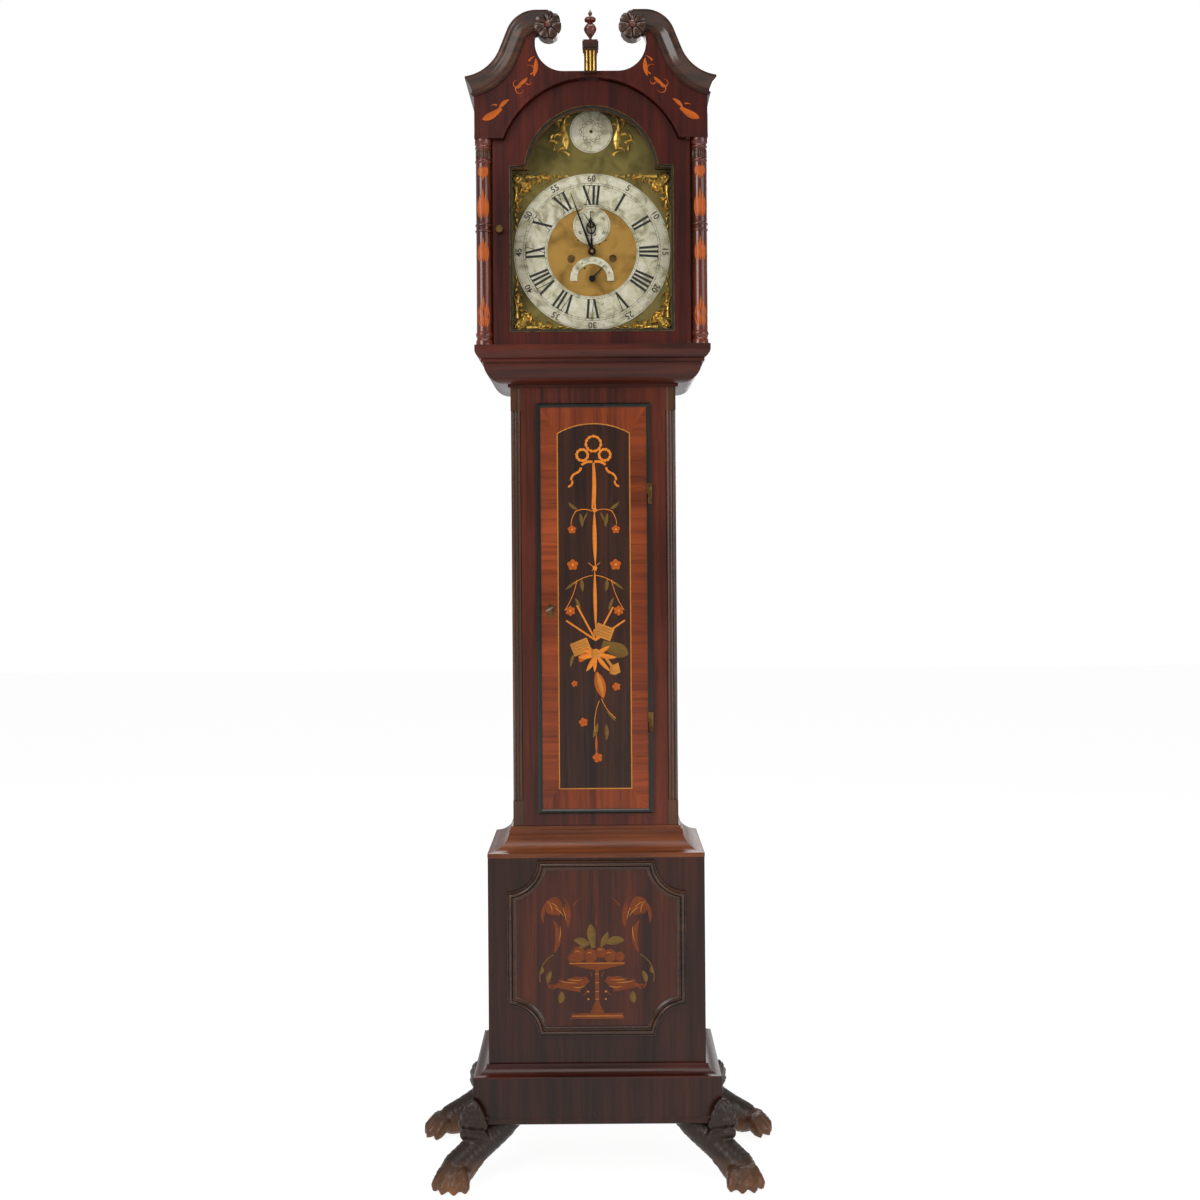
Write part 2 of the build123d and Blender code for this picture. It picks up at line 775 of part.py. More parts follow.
neck_profile = outline(
    (neck_band, 0),
    (0, 0),
    (0, cornice_projection),
    (4, cornice_projection),
    (8, cornice_projection - 4.5),
    (14, cornice_projection - 7.4),
    (22, cornice_projection - 11.4),
    (neck_band, cornice_projection - 11.8),
)
neck_facets = 6
neck_stops = []
for run in neck:
    steps = neck_facets if run.geom_type == GeomType.CIRCLE else 1
    neck_stops += [run @ (step / steps) for step in range(steps)]
neck_stops.append(neck[-1] @ 1)
low = math.radians(neck_low_angle)
section_plane = Plane(neck_start, x_dir=(-math.sin(low), -math.cos(low), 0), z_dir=(-math.cos(low), math.sin(low), 0))
flat_neck = sweep(section_plane * neck_profile, path=Wire(Polyline(*neck_stops)), transition=Transition.RIGHT)
rosette_seat = Pos(rosette_offset, rosette_level) * RegularPolygon(rosette_radius, 24)
flat_neck -= extrude(rosette_seat, 2 * cornice_projection, both=True)
swan_neck = Plane.XZ.offset(-hood_front) * flat_neck
mitre_reach = 2 * cornice_projection
mitre_plan = outline(
    (0, hood_front),
    (half_hood, hood_front),
    (half_hood + mitre_reach, hood_front - mitre_reach),
    (0, hood_front - mitre_reach),
)
swan_neck &= extrude(mitre_plan, 2 * cornice_top)
cornice_section = Plane(
    (half_hood, (hood_front - mitre_reach + back) / 2, cornice_top), x_dir=(0, 0, -1), z_dir=(0, -1, 0)
) * neck_profile
side_cornice = extrude(cornice_section, (back - hood_front + mitre_reach) / 2, both=True)
side_plan = outline(
    (half_hood, hood_front),
    (half_hood + mitre_reach, hood_front - mitre_reach),
    (half_hood + mitre_reach, back),
    (half_hood, back),
)
side_cornice &= extrude(side_plan, 2 * cornice_top)
save("pediment_mouldings", *both_sides(swan_neck), *both_sides(side_cornice))

petal_points = [(-0.5, 0.72), (-0.34, 0.92), (-0.12, 0.985), (0.12, 0.985), (0.34, 0.92)]
petals = toothed(rosette_petals, math.pi / 2, [(share, radius * rosette_radius) for share, radius in petal_points])
rosette = upright(Pos(rosette_offset, rosette_level) * petals, hood_front - rosette_thickness, hood_front)
rosette += rod(
    0.26 * rosette_radius, hood_front - rosette_thickness - 4.0, hood_front, rosette_offset, rosette_level, 12
)
save("rosettes", *both_sides(rosette))

plinth_low = arch_centre + arch_gap + architrave_height
plinth_block_top = plinth_low + finial_plinth_height - 4.0
half_block = finial_plinth_width / 2
finial_plinth = block((-half_block, half_block), (hood_front - 14.0, hood_front), (plinth_low, plinth_block_top))
finial_plinth += block((-half_block, half_block), (hood_front - 14.0, hood_front + 14.0), (scoop_low, plinth_block_top))
for step, spread in ((0.0, 1.5), (5.0, 3.2), (11.0, 2.0)):
    finial_plinth += block(
        (-half_block - spread, half_block + spread),
        (hood_front - 14.0 - spread, hood_front + 14.0 + spread),
        (plinth_block_top + step, plinth_block_top + step + 6.0),
    )
finial_base = plinth_block_top + 17.0
finial_profile = [
    (6.0, 0.0),
    (6.0, 3.0),
    (2.9, 7.5),
    (9.0, 17.0),
    (11.9, 23.0),
    (10.5, 29.0),
    (5.0, 35.0),
    (11.0, 39.0),
    (10.5, 44.0),
    (2.6, 48.5),
    (4.2, 53.0),
    (1.0, finial_height),
]
finial = turned(finial_profile, 0.0, hood_front, finial_base, 12)
save("finial", finial_plinth, finial)

ring = column_ring_radius
column_profile = [
    (ring, 0.0),
    (ring, 10.0),
    (13.6, 13.0),
    (ring, 17.0),
    (ring, 22.0),
    (column_radius, 26.0),
    (13.3, 207.0),
    (ring, 209.5),
    (13.3, 214.5),
    (ring, 219.5),
    (13.3, 222.0),
    (13.0, 334.0),
    (14.6, 337.0),
    (12.2, 341.0),
    (12.2, 358.0),
    (14.8, 362.0),
    (ring, 370.0),
    (ring, column_height),
]
column_y = mask_front - column_ring_radius - slide_gap
column = turned(column_profile, half_hood - column_inset, column_y, hood_floor, column_sides)
save("hood_columns", *both_sides(column))

# Hood door
door_low = hood_floor + door_gap
door_high = capital_top - door_gap
glass_bottom = hood_floor + glass_bottom_lift
shoulder = mask_shoulder
glass_face = Pos(0, (glass_bottom + shoulder) / 2) * Rectangle(2 * glass_half_width, shoulder - glass_bottom)
glass_face += Pos(0, arch_centre) * Circle(glass_arch_radius)
door_face_shape = Pos(0, (door_low + door_high) / 2) * Rectangle(2 * door_half_width, door_high - door_low)
door_face_shape += Pos(0, arch_centre) * Circle(door_arch_radius)
above = Pos(0, shoulder + column_height / 2) * Rectangle(2 * half_hood, column_height)
arch_rail = upright((door_face_shape - glass_face) & above, door_face, door_back)
hood_stile = block((glass_half_width, door_half_width), (door_face, door_back), (door_low, shoulder))
bottom_rail = block((-glass_half_width, glass_half_width), (door_face, door_back), (door_low, glass_bottom))
strap = block(
    (door_half_width - 34.0, door_half_width), (door_face + 0.6, door_back - 4.0), (door_low, door_low + 1.6)
)
strap += block(
    (hood_pivot_x - pivot_inset, hood_pivot_x + pivot_inset),
    (hood_pivot_y - pivot_radius - 1.5, door_face + 0.6),
    (door_low, door_low + 1.6),
)
upper_strap = Pos(0, 0, door_high - 1.6 - door_low) * strap
knob_level = dial_centre + knob_drop / 2
knob_x = -(glass_half_width + door_half_width) / 2 - 3.0
knob_hole = rod(knob_stem + 2 * running_gap, door_face - 1.0, door_face + 12.0, knob_x, knob_level, 12)
left_hood_stile = block((-door_half_width, -glass_half_width), (door_face, door_back), (door_low, shoulder))
save(
    "hood_door_frame",
    hood_stile - strap,
    left_hood_stile - knob_hole,
    bottom_rail - strap,
    arch_rail - upper_strap,
)
glass_front = (door_face + door_back - glass_thickness) / 2
save("hood_door_glass", upright(glass_face, glass_front, glass_front + glass_thickness))
pin_length = pivot_depth + door_gap - 0.6
pins = [
    Pos(hood_pivot_x, hood_pivot_y, level) * extrude(RegularPolygon(pivot_radius, 12), pin_length)
    for level in (door_low - pin_length, door_high)
]
knob_profile = [
    (knob_stem, -12.0),
    (knob_stem, 0.0),
    (5.0, 0.3),
    (3.0, 3.0),
    (3.2, 5.0),
    (knob_radius, 8.0),
    (knob_radius, 11.5),
    (3.5, 14.5),
]
knob = Pos(knob_x, door_face, knob_level) * Rot(90, 0, 0) * turned(knob_profile, sides=12)
save("hood_door_fittings", strap + pins[0], upper_strap + pins[1], knob)

# Dial
half_dial = dial_size / 2
dial_face = Pos(0, dial_centre) * Rectangle(dial_size, dial_size)
dial_face += Pos(0, dial_arch_centre) * Circle(dial_arch_radius)
winding_points = [(winding_offset, winding_level), (-winding_offset, winding_level)]
for x, z in winding_points:
    dial_face -= Pos(x, z) * RegularPolygon(winding_hole_radius, 16)
hour_pipe_radius = 4.5
dial_face -= Pos(0, dial_centre) * RegularPolygon(hour_pipe_radius + 0.6, 12)
dial_face -= Pos(0, seconds_level) * RegularPolygon(arbor_radius + 0.5, 8)
save("dial_plate", upright(dial_face, dial_front, dial_back))

ring_front = dial_front - ring_thickness
chapter_ring = tube(chapter_outer_radius, chapter_inner_radius, ring_front, dial_front, 0, dial_centre)
seconds_face = Pos(0, seconds_level) * (Circle(seconds_radius) - RegularPolygon(arbor_radius + 0.5, 8))
seconds_face &= Pos(0, dial_centre) * Circle(chapter_inner_radius - 0.3)
seconds_ring = upright(seconds_face, ring_front, dial_front)
date_level = dial_centre - date_drop
date_face = Circle(date_radius) - Circle(date_radius - date_band)
date_face &= Pos(0, date_radius / 2 - 2.0) * Rectangle(2 * date_radius, date_radius + 4.0)
date_sector = upright(Pos(0, date_level) * date_face, ring_front, dial_front)
boss_level = dial_centre + boss_lift
boss = disc(boss_radius, ring_front, dial_front, 0, boss_level)
save("dial_rings", chapter_ring, seconds_ring, date_sector, boss)

spandrel_reach = half_dial - 4.0
spandrel = outline(
    (spandrel_reach, spandrel_reach), (spandrel_reach, 34.0), (spandrel_reach - 4.0, 46.0), (spandrel_reach - 12.0, 66.0),
    (spandrel_reach - 14.0, 84.0), (spandrel_reach - 30.0, 96.0), (104.0, 108.0), (96.0, spandrel_reach - 30.0),
    (84.0, spandrel_reach - 14.0), (66.0, spandrel_reach - 12.0), (46.0, spandrel_reach - 4.0), (34.0, spandrel_reach),
)
spandrel -= Circle(chapter_outer_radius + 1.0)
spandrels = []
for quarter_turn in range(4):
    face = Pos(0, dial_centre) * Rot(0, 0, 90 * quarter_turn) * spandrel
    spandrels.append(upright(face, dial_front - mount_thickness, dial_front))
arch_mount = outline(
    (46.0, 4.0), (60.0, 2.0), (74.0, 12.0), (84.0, 30.0), (80.0, 44.0), (86.0, 58.0), (74.0, 84.0), (58.0, 104.0),
    (50.0, 98.0), (54.0, 78.0), (50.0, 60.0), (56.0, 40.0), (46.0, 24.0),
)
arch_mount -= Pos(0, boss_level - dial_arch_centre + 6.0) * Circle(boss_radius + 2.0)
arch_mounts = both_sides(upright(Pos(0, dial_arch_centre + 6.0) * arch_mount, dial_front - mount_thickness, dial_front))
save("dial_mounts", *spandrels, *arch_mounts)

# Movement: seatboard, plates and pillars
inner_front = plate_front + plate_thickness
inner_back = plate_back
outer_back = plate_back + plate_thickness
seat_front = dial_back + 21.0
line_x = winding_offset + barrel_radius + line_radius
weight_x = line_x + pulley_radius
anchor_x = weight_x + pulley_radius
barrel_front = inner_front + 3.0
line_y = barrel_front + barrel_length / 2
seatboard = block((-half_trunk, half_trunk), (seat_front, seat_front + seat_depth), (seat_bottom, seat_top))
for side in (1, -1):
    for x in (line_x, anchor_x):
        seatboard -= block(
            (side * x - 4.0, side * x + 4.0), (line_y - 6.0, line_y + 6.0), (seat_bottom - 1, seat_top + 1)
        )
save("seatboard", seatboard)

plate_shape = Pos(0, seat_top + plate_height / 2) * Rectangle(plate_width, plate_height)
front_holes = [(0, dial_centre, arbor_radius), (0, seconds_level, arbor_radius)]
barrel_arbor_radius = 4.0
front_holes += [(x, z, barrel_arbor_radius) for x, z in winding_points]
front_shape = plate_shape
for x, z, radius in front_holes:
    front_shape -= Pos(x, z) * RegularPolygon(radius + running_gap, 16)
front_plate = upright(front_shape, plate_front, inner_front)
back_shape = plate_shape - Pos(0, anchor_level) * RegularPolygon(arbor_radius + running_gap, 16)
back_plate = upright(back_shape, inner_back, outer_back)
pillar_x = plate_width / 2 - pillar_inset
pillar_levels = (seat_top + 10.0, seat_top + plate_height - 10.0)
pillars = [
    rod(pillar_radius, inner_front, inner_back, x, z) for x in (pillar_x, -pillar_x) for z in pillar_levels
]
dial_feet = [
    rod(pillar_radius - 1.5, dial_back, plate_front, x, z) for x in (pillar_x, -pillar_x) for z in pillar_levels
]
cock_gap = 8.3
cock = block((-28.0, 28.0), (outer_back + cock_gap, outer_back + cock_gap + 3.0), (anchor_level - 8.0, anchor_level + 14.0))
for side in (1, -1):
    cock += block(
        tuple(sorted((side * 22.0, side * 28.0))), (outer_back, outer_back + cock_gap), (anchor_level - 8.0, anchor_level + 11.0)
    )
rod_y = outer_back + 16.0
cock += block((-6.0, 6.0), (outer_back + cock_gap, rod_y + 5.0), (anchor_level + 6.0, anchor_level + 14.0))
save("movement_frame", front_plate, back_plate, *pillars, *dial_feet, cock)

bell_y = (inner_front + inner_back) / 2
bell_low = seat_top + plate_height + 26.0
bell_stations = [(1.0, 0.0), (0.94, 0.3), (0.7, 0.78), (0.3, 1.0)]
bell_wall = 2.0
bell_outside = turned(
    [(share * bell_radius, rise * bell_height) for share, rise in bell_stations], 0, bell_y, bell_low, 24
)
bell_inside = turned(
    [(share * bell_radius - bell_wall, rise * bell_height - bell_wall) for share, rise in bell_stations],
    0,
    bell_y,
    bell_low,
    24,
)
bell = bell_outside - bell_inside
stand = block((-4.0, 4.0), (outer_back, outer_back + 3.0), (seat_top + plate_height - 6.0, bell_low + bell_height + 3.0))
stand += block((-4.0, 4.0), (bell_y - 4.0, outer_back + 3.0), (bell_low + bell_height, bell_low + bell_height + 3.0))
save("bell", bell, stand)


# Movement: wheels
def arbor_between_plates(x, z, front=None, rear=None, radius=arbor_radius):
    """A steel arbor from plate to plate, or between two given depths."""
    start = inner_front + slide_gap if front is None else front
    end = inner_back - slide_gap if rear is None else rear
    return rod(radius, start, end, x, z, 8)


great_plane = barrel_front + barrel_length + wheel_gap + 2.0
centre_plane = great_plane + wheel_thickness + 5.0
third_plane = centre_plane + wheel_thickness + 5.0
escape_plane = inner_front + plate_gap / 2
pinion_overlap = 2.0
winding_reach = math.hypot(winding_offset, winding_drop)
great_module = 2 * winding_reach / (great_teeth + centre_pinion_leaves)
train_module = 2 * train_fold * seconds_offset / (
    centre_teeth + third_pinion_leaves + third_teeth + escape_pinion_leaves
)
centre_reach = (centre_teeth + third_pinion_leaves) / 2 * train_module
third_reach = (third_teeth + escape_pinion_leaves) / 2 * train_module
third_up = (centre_reach**2 - third_reach**2 + seconds_offset**2) / (2 * seconds_offset)
third_across = math.sqrt(centre_reach**2 - third_up**2)
third_x, third_z = third_across, dial_centre + third_up


def placed(face, x, z, front, thickness):
    """A wheel or pinion face set on its arbor."""
    return upright(Pos(x, z) * face, front, front + thickness)


def meshed_lead(x, z, other_x, other_z, teeth):
    """The angle that puts a gap of this wheel on the line to its neighbour."""
    return math.atan2(other_z - z, other_x - x) + math.pi / teeth


def facing_lead(x, z, other_x, other_z):
    """The angle that puts a tooth of this wheel on the line to its neighbour."""
    return math.atan2(other_z - z, other_x - x)


centre = (0.0, dial_centre)
third = (third_x, third_z)
escape = (0.0, seconds_level)
going = winding_points[0]
striking = winding_points[1]

great_wheel_face = wheel_face(great_teeth, great_module, facing_lead(*going, *centre)) - RegularPolygon(
    barrel_arbor_radius + 3 * running_gap, 12
)
save("going_great_wheel", placed(great_wheel_face, *going, great_plane, wheel_thickness))


def barrel_piece(x, z):
    """A drum with its winding square, flanges and ratchet on one arbor."""
    drum_back = barrel_front + barrel_length
    drum = rod(barrel_radius, barrel_front, drum_back, x, z, 24)
    for edge in (barrel_front, drum_back - 2.0):
        drum += rod(barrel_radius + 2.5, edge, edge + 2.0, x, z, 24)
    drum += arbor_between_plates(x, z, plate_front - 6.0, None, barrel_arbor_radius)
    square = 1.3 * barrel_arbor_radius
    drum += upright(Pos(x, z) * Rectangle(square, square), dial_front + 1.0, plate_front - 6.0)
    ratchet = toothed(16, 0.0, [(-0.1, 11.5), (0.1, 13.8)])
    drum += placed(ratchet, x, z, drum_back, 2.0)
    return drum


save("going_barrel", barrel_piece(*going))
save("strike_barrel", barrel_piece(*striking))

cannon_plane = plate_front - 6.0
hour_plane = cannon_plane - 7.0
hand_thickness = 1.2
seconds_hand_back = ring_front - ring_gap
hour_hand_back = seconds_hand_back - hand_thickness - hand_gap
minute_hand_back = hour_hand_back - hand_thickness - hand_gap
cannon_radius = 3.0
minute_angle = math.radians(-50.0)
minute_reach = motion_teeth * motion_module
minute = (minute_reach * math.cos(minute_angle), dial_centre + minute_reach * math.sin(minute_angle))
hour_module = 2 * minute_reach / (hour_teeth + minute_pinion_leaves)

centre_arbor = arbor_between_plates(*centre, cannon_plane, None)
centre_arbor += placed(
    wheel_face(centre_teeth, train_module, facing_lead(*centre, *third)), *centre, centre_plane, wheel_thickness
)
centre_arbor += placed(
    pinion_face(centre_pinion_leaves, great_module, meshed_lead(*centre, *going, centre_pinion_leaves)),
    *centre,
    great_plane - pinion_overlap,
    wheel_thickness + 2 * pinion_overlap,
)
centre_arbor += placed(
    tooth_ring(motion_teeth, motion_module, facing_lead(*centre, *minute)),
    *centre,
    cannon_plane - wheel_thickness,
    wheel_thickness,
)
centre_arbor += rod(cannon_radius, minute_hand_back - hand_thickness - 1.0, cannon_plane, *centre, 16)
save("centre_arbor", centre_arbor)

third_arbor = arbor_between_plates(*third)
third_arbor += placed(
    wheel_face(third_teeth, train_module, facing_lead(*third, *escape)), *third, third_plane, wheel_thickness
)
third_arbor += placed(
    pinion_face(third_pinion_leaves, train_module, meshed_lead(*third, *centre, third_pinion_leaves)),
    *third,
    centre_plane - pinion_overlap,
    wheel_thickness + 2 * pinion_overlap,
)
save("third_arbor", third_arbor)

escape_lead = math.pi / 2 + math.pi / escape_teeth
escape_face = toothed(escape_teeth, escape_lead, [(-0.16, 0.8 * escape_radius), (0.0, escape_radius)])
escape_face -= crossings(0.66 * escape_radius, 0.24 * escape_radius, wheel_arms, 2.4)
escape_arbor = arbor_between_plates(*escape, seconds_hand_back - hand_thickness - 0.4, None)
escape_arbor += placed(escape_face, *escape, escape_plane, wheel_thickness)
escape_arbor += placed(
    pinion_face(escape_pinion_leaves, train_module, meshed_lead(*escape, *third, escape_pinion_leaves)),
    *escape,
    third_plane - pinion_overlap,
    wheel_thickness + 2 * pinion_overlap,
)
save("escape_arbor", escape_arbor)

minute_wheel = arbor_between_plates(*minute, hour_plane - 2.0, plate_front - slide_gap, minute_post_radius)
minute_wheel += placed(
    tooth_ring(motion_teeth, motion_module, meshed_lead(*minute, *centre, motion_teeth)),
    *minute,
    cannon_plane - wheel_thickness,
    wheel_thickness,
)
minute_wheel += placed(
    pinion_face(minute_pinion_leaves, hour_module, meshed_lead(*minute, *centre, minute_pinion_leaves)),
    *minute,
    hour_plane - 1.0,
    wheel_thickness + 2.0,
)
save("minute_wheel", minute_wheel)

hour_wheel = placed(
    tooth_ring(hour_teeth, hour_module, facing_lead(*centre, *minute)), *centre, hour_plane, wheel_thickness
)
hour_wheel += rod(hour_pipe_radius, hour_hand_back - hand_thickness, hour_plane, *centre, 16)
hour_wheel -= rod(cannon_radius + 2 * running_gap, hour_hand_back - 10.0, hour_plane + 10.0, *centre, 16)
save("hour_wheel", hour_wheel)

strike_module = great_module
pin_reach = (strike_teeth + pin_wheel_leaves) / 2 * strike_module
pin_angle = math.radians(95.0)
pin_arbor_place = (striking[0] + pin_reach * math.cos(pin_angle), striking[1] + pin_reach * math.sin(pin_angle))
strike_face = wheel_face(strike_teeth, strike_module, facing_lead(*striking, *pin_arbor_place)) - RegularPolygon(
    barrel_arbor_radius + 3 * running_gap, 12
)
save("strike_great_wheel", placed(strike_face, *striking, great_plane, wheel_thickness))
pin_wheel = arbor_between_plates(*pin_arbor_place)
pin_wheel += placed(wheel_face(pin_wheel_teeth, train_module, 0.0), *pin_arbor_place, centre_plane, wheel_thickness)
pin_wheel += placed(
    pinion_face(pin_wheel_leaves, strike_module, meshed_lead(*pin_arbor_place, *striking, pin_wheel_leaves)),
    *pin_arbor_place,
    great_plane - pinion_overlap,
    wheel_thickness + 2 * pinion_overlap,
)
save("pin_wheel", pin_wheel)

# Movement: anchor, pendulum and hammer
anchor_side = [(0, 5.0), (12.0, 1.5), (19.5, -8.5), (17.6, -15.6), (15.3, -14.3), (15.2, -9.5), (9.0, -3.2), (0, -4.5)]
scale = anchor_rise / 29.7
anchor_points = [(scale * x, scale * z) for x, z in anchor_side]
anchor_points += [(-x, z) for x, z in reversed(anchor_points[1:-1])]
anchor = placed(outline(*anchor_points), 0, anchor_level, escape_plane, wheel_thickness + 1.0)
anchor += arbor_between_plates(0, anchor_level, inner_front + slide_gap, outer_back + cock_gap - slide_gap)
crutch_y = (outer_back + 2.0, outer_back + 5.0)
anchor += block((-2.5, 2.5), crutch_y, (anchor_level - crutch_drop, anchor_level))
tine = rod_radius + 0.4
for side in (1, -1):
    anchor += block(
        tuple(sorted((side * tine, side * (tine + 2.0)))), (crutch_y[0], rod_y + 4.0), (anchor_level - crutch_drop - 4.0, anchor_level - crutch_drop)
    )
anchor += block((-tine - 2.0, tine + 2.0), crutch_y, (anchor_level - crutch_drop - 4.0, anchor_level - crutch_drop))
save("anchor", anchor)

bob_level = anchor_level - pendulum_length
rod_bottom = bob_level - bob_radius - 26.0
spring_length = 34.0
pendulum = Pos(0, rod_y, rod_bottom) * extrude(
    RegularPolygon(rod_radius, 12), anchor_level - spring_length - rod_bottom
)
pendulum += block((-4.0, 4.0), (rod_y - 0.3, rod_y + 0.3), (anchor_level - spring_length, anchor_level))
pendulum += block((-4.0, 4.0), (rod_y - 4.0, rod_y + 4.0), (anchor_level, anchor_level + 5.5))
pendulum += Pos(0, rod_y, rod_bottom + 10.0) * extrude(RegularPolygon(7.0, 6), 6.0)
save("pendulum", pendulum)
half_bob = bob_thickness / 2
bob_profile = [
    (0.3 * bob_radius, -half_bob),
    (0.7 * bob_radius, -0.72 * half_bob),
    (bob_radius, -0.1 * half_bob),
    (bob_radius, 0.1 * half_bob),
    (0.7 * bob_radius, 0.72 * half_bob),
    (0.3 * bob_radius, half_bob),
]
bob = Pos(0, rod_y, bob_level) * Rot(90, 0, 0) * turned(bob_profile, sides=28)
bob -= Pos(0, rod_y, bob_level - 2 * bob_radius) * extrude(RegularPolygon(rod_radius, 12), 4 * bob_radius)
save("pendulum_bob", bob)

hammer_x = -(bell_radius + 10.0)
hammer_z = seat_top + plate_height - 34.0
head_z = bell_low + 4.0
hammer = arbor_between_plates(hammer_x, hammer_z)
hammer += block((hammer_x - 1.5, hammer_x + 1.5), (bell_y - 2.0, bell_y + 2.0), (hammer_z, head_z))
hammer_front = bell_radius + 1.2
hammer_length = 6.0 - hammer_x - hammer_front
hammer += Pos(hammer_x - 6.0, bell_y, head_z) * Rot(0, 90, 0) * extrude(RegularPolygon(4.5, 12), hammer_length)
save("hammer", hammer)


# Hands
def hand_face(length, root, width, ring):
    """A tapering hand with its collet, a pierced ring and a pointed tip."""
    half = width / 2
    stem = outline(
        (-half, 0),
        (half, 0),
        (0.6 * half, 0.55 * length),
        (0.24 * half, length),
        (-0.24 * half, length),
        (-0.6 * half, 0.55 * length),
    )
    face = stem + RegularPolygon(root, 16)
    if ring:
        face += Pos(0, 0.55 * length) * (RegularPolygon(ring, 16) - RegularPolygon(0.62 * ring, 16))
        face += Pos(0, 0.85 * length) * (RegularPolygon(0.55 * ring, 12) - RegularPolygon(0.3 * ring, 12))
    return face


def set_hand(face, reading, hole, x, z, rear):
    """A hand turned clockwise to its reading, with the hole for its arbor."""
    turned_face = Rot(0, 0, -reading) * face - RegularPolygon(hole, 16)
    return placed(turned_face, x, z, rear - hand_thickness, hand_thickness)


minute_turn = 6.0 * minute_reading
hour_turn = (11 + minute_reading / 60) * 30.0
hour_hand = hand_face(hour_hand_length, 8.0, 9.0, 11.0)
save("hour_hand", set_hand(hour_hand, hour_turn, hour_pipe_radius, *centre, hour_hand_back))
minute_hand = hand_face(minute_hand_length, 6.5, 5.0, 0)
save("minute_hand", set_hand(minute_hand, minute_turn, cannon_radius, *centre, minute_hand_back))
seconds_hand = hand_face(seconds_hand_length, 4.0, 2.4, 0)
save("seconds_hand", set_hand(seconds_hand, -32.0, arbor_radius, *escape, seconds_hand_back))
date_hand = hand_face(date_radius - 6.0, 6.0, 3.0, 0)
date_face = Rot(0, 0, -43.0) * date_hand
date_stud = rod(2.0, ring_front - ring_gap, dial_front, 0, date_level)
date_hand_back = ring_front - ring_gap
save("date_hand", placed(date_face, 0, date_level, date_hand_back - hand_thickness, hand_thickness) + date_stud)

# Weights
weight_low = foot_height + board + weight_floor_gap
weight_top = weight_low + weight_height
pulley_level = weight_top + 34.0


def weight_set(side):
    """A weight, its hook and stirrup, and the pulley that carries them."""
    x = side * weight_x
    body = turned(
        [
            (weight_radius - 4.0, 0.0),
            (weight_radius, 4.0),
            (weight_radius, weight_height - 6.0),
            (weight_radius - 8.0, weight_height),
        ],
        x,
        line_y,
        weight_low,
        24,
    )
    half_pulley = pulley_thickness / 2
    stirrup = block((x - 3.0, x + 3.0), (line_y - half_pulley - 2.4, line_y + half_pulley + 2.4), (weight_top, weight_top + 8.0))
    for y in (line_y - half_pulley - 2.4, line_y + half_pulley + 0.4):
        stirrup += block((x - 3.0, x + 3.0), (y, y + 2.0), (weight_top + 6.0, pulley_level + 6.0))
    sheave = rod(pulley_radius - line_radius, line_y - half_pulley, line_y + half_pulley, x, pulley_level, 20)
    return body, stirrup, sheave


def line_pair(side):
    """The line down from the drum and the line back up to the seatboard."""
    runs = []
    for x, top in ((line_x, winding_level), (anchor_x, seat_bottom)):
        face = Pos(side * x, line_y) * RegularPolygon(line_radius, 8)
        runs.append(Pos(0, 0, pulley_level) * extrude(face, top - pulley_level))
    return runs


save("going_weight", *weight_set(1))
save("strike_weight", *weight_set(-1))
save("going_line", *line_pair(1))
save("strike_line", *line_pair(-1))
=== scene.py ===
"""Longcase clock: finishes, inlay, dial work and carving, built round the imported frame.

Metres. +X is to the right as seen from the front, +Y goes back, +Z is up.
"""

import json
import logging
import math
from dataclasses import dataclass, field
from enum import Enum
from typing import Iterable, Sequence

import bmesh
import bpy
from mathutils import Matrix, Vector

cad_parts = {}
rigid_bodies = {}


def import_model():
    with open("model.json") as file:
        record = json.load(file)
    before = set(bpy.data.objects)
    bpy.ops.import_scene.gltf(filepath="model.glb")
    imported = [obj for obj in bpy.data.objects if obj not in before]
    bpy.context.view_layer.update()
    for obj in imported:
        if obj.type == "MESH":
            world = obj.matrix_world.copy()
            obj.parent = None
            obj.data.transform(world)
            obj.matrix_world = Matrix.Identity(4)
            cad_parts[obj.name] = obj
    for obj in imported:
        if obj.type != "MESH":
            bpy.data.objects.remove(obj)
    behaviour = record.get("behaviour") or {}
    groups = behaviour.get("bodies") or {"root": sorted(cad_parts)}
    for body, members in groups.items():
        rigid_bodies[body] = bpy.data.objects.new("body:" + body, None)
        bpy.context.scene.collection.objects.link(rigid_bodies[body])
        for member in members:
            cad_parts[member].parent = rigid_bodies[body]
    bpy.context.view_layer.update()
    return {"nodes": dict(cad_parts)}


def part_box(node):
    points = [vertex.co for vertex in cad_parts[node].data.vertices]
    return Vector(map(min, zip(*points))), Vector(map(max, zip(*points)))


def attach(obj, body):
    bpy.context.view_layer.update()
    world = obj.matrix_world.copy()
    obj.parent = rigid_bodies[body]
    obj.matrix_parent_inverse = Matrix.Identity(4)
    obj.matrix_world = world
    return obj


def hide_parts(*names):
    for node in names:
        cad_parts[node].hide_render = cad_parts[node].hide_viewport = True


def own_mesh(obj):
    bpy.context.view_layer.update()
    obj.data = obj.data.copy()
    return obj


LOG = logging.getLogger("longcase_clock")
MM = 0.001
Point = tuple[float, float]
Colour = tuple[float, float, float]


def linear(red: int, green: int, blue: int) -> tuple[float, float, float, float]:
    """Turn a colour written in 0 to 255 steps into the renderer's linear values."""
    return tuple(
        ((c / 255 + 0.055) / 1.055) ** 2.4 if c > 10 else c / 255 / 12.92 for c in (red, green, blue)
    ) + (1.0,)


# Finishes


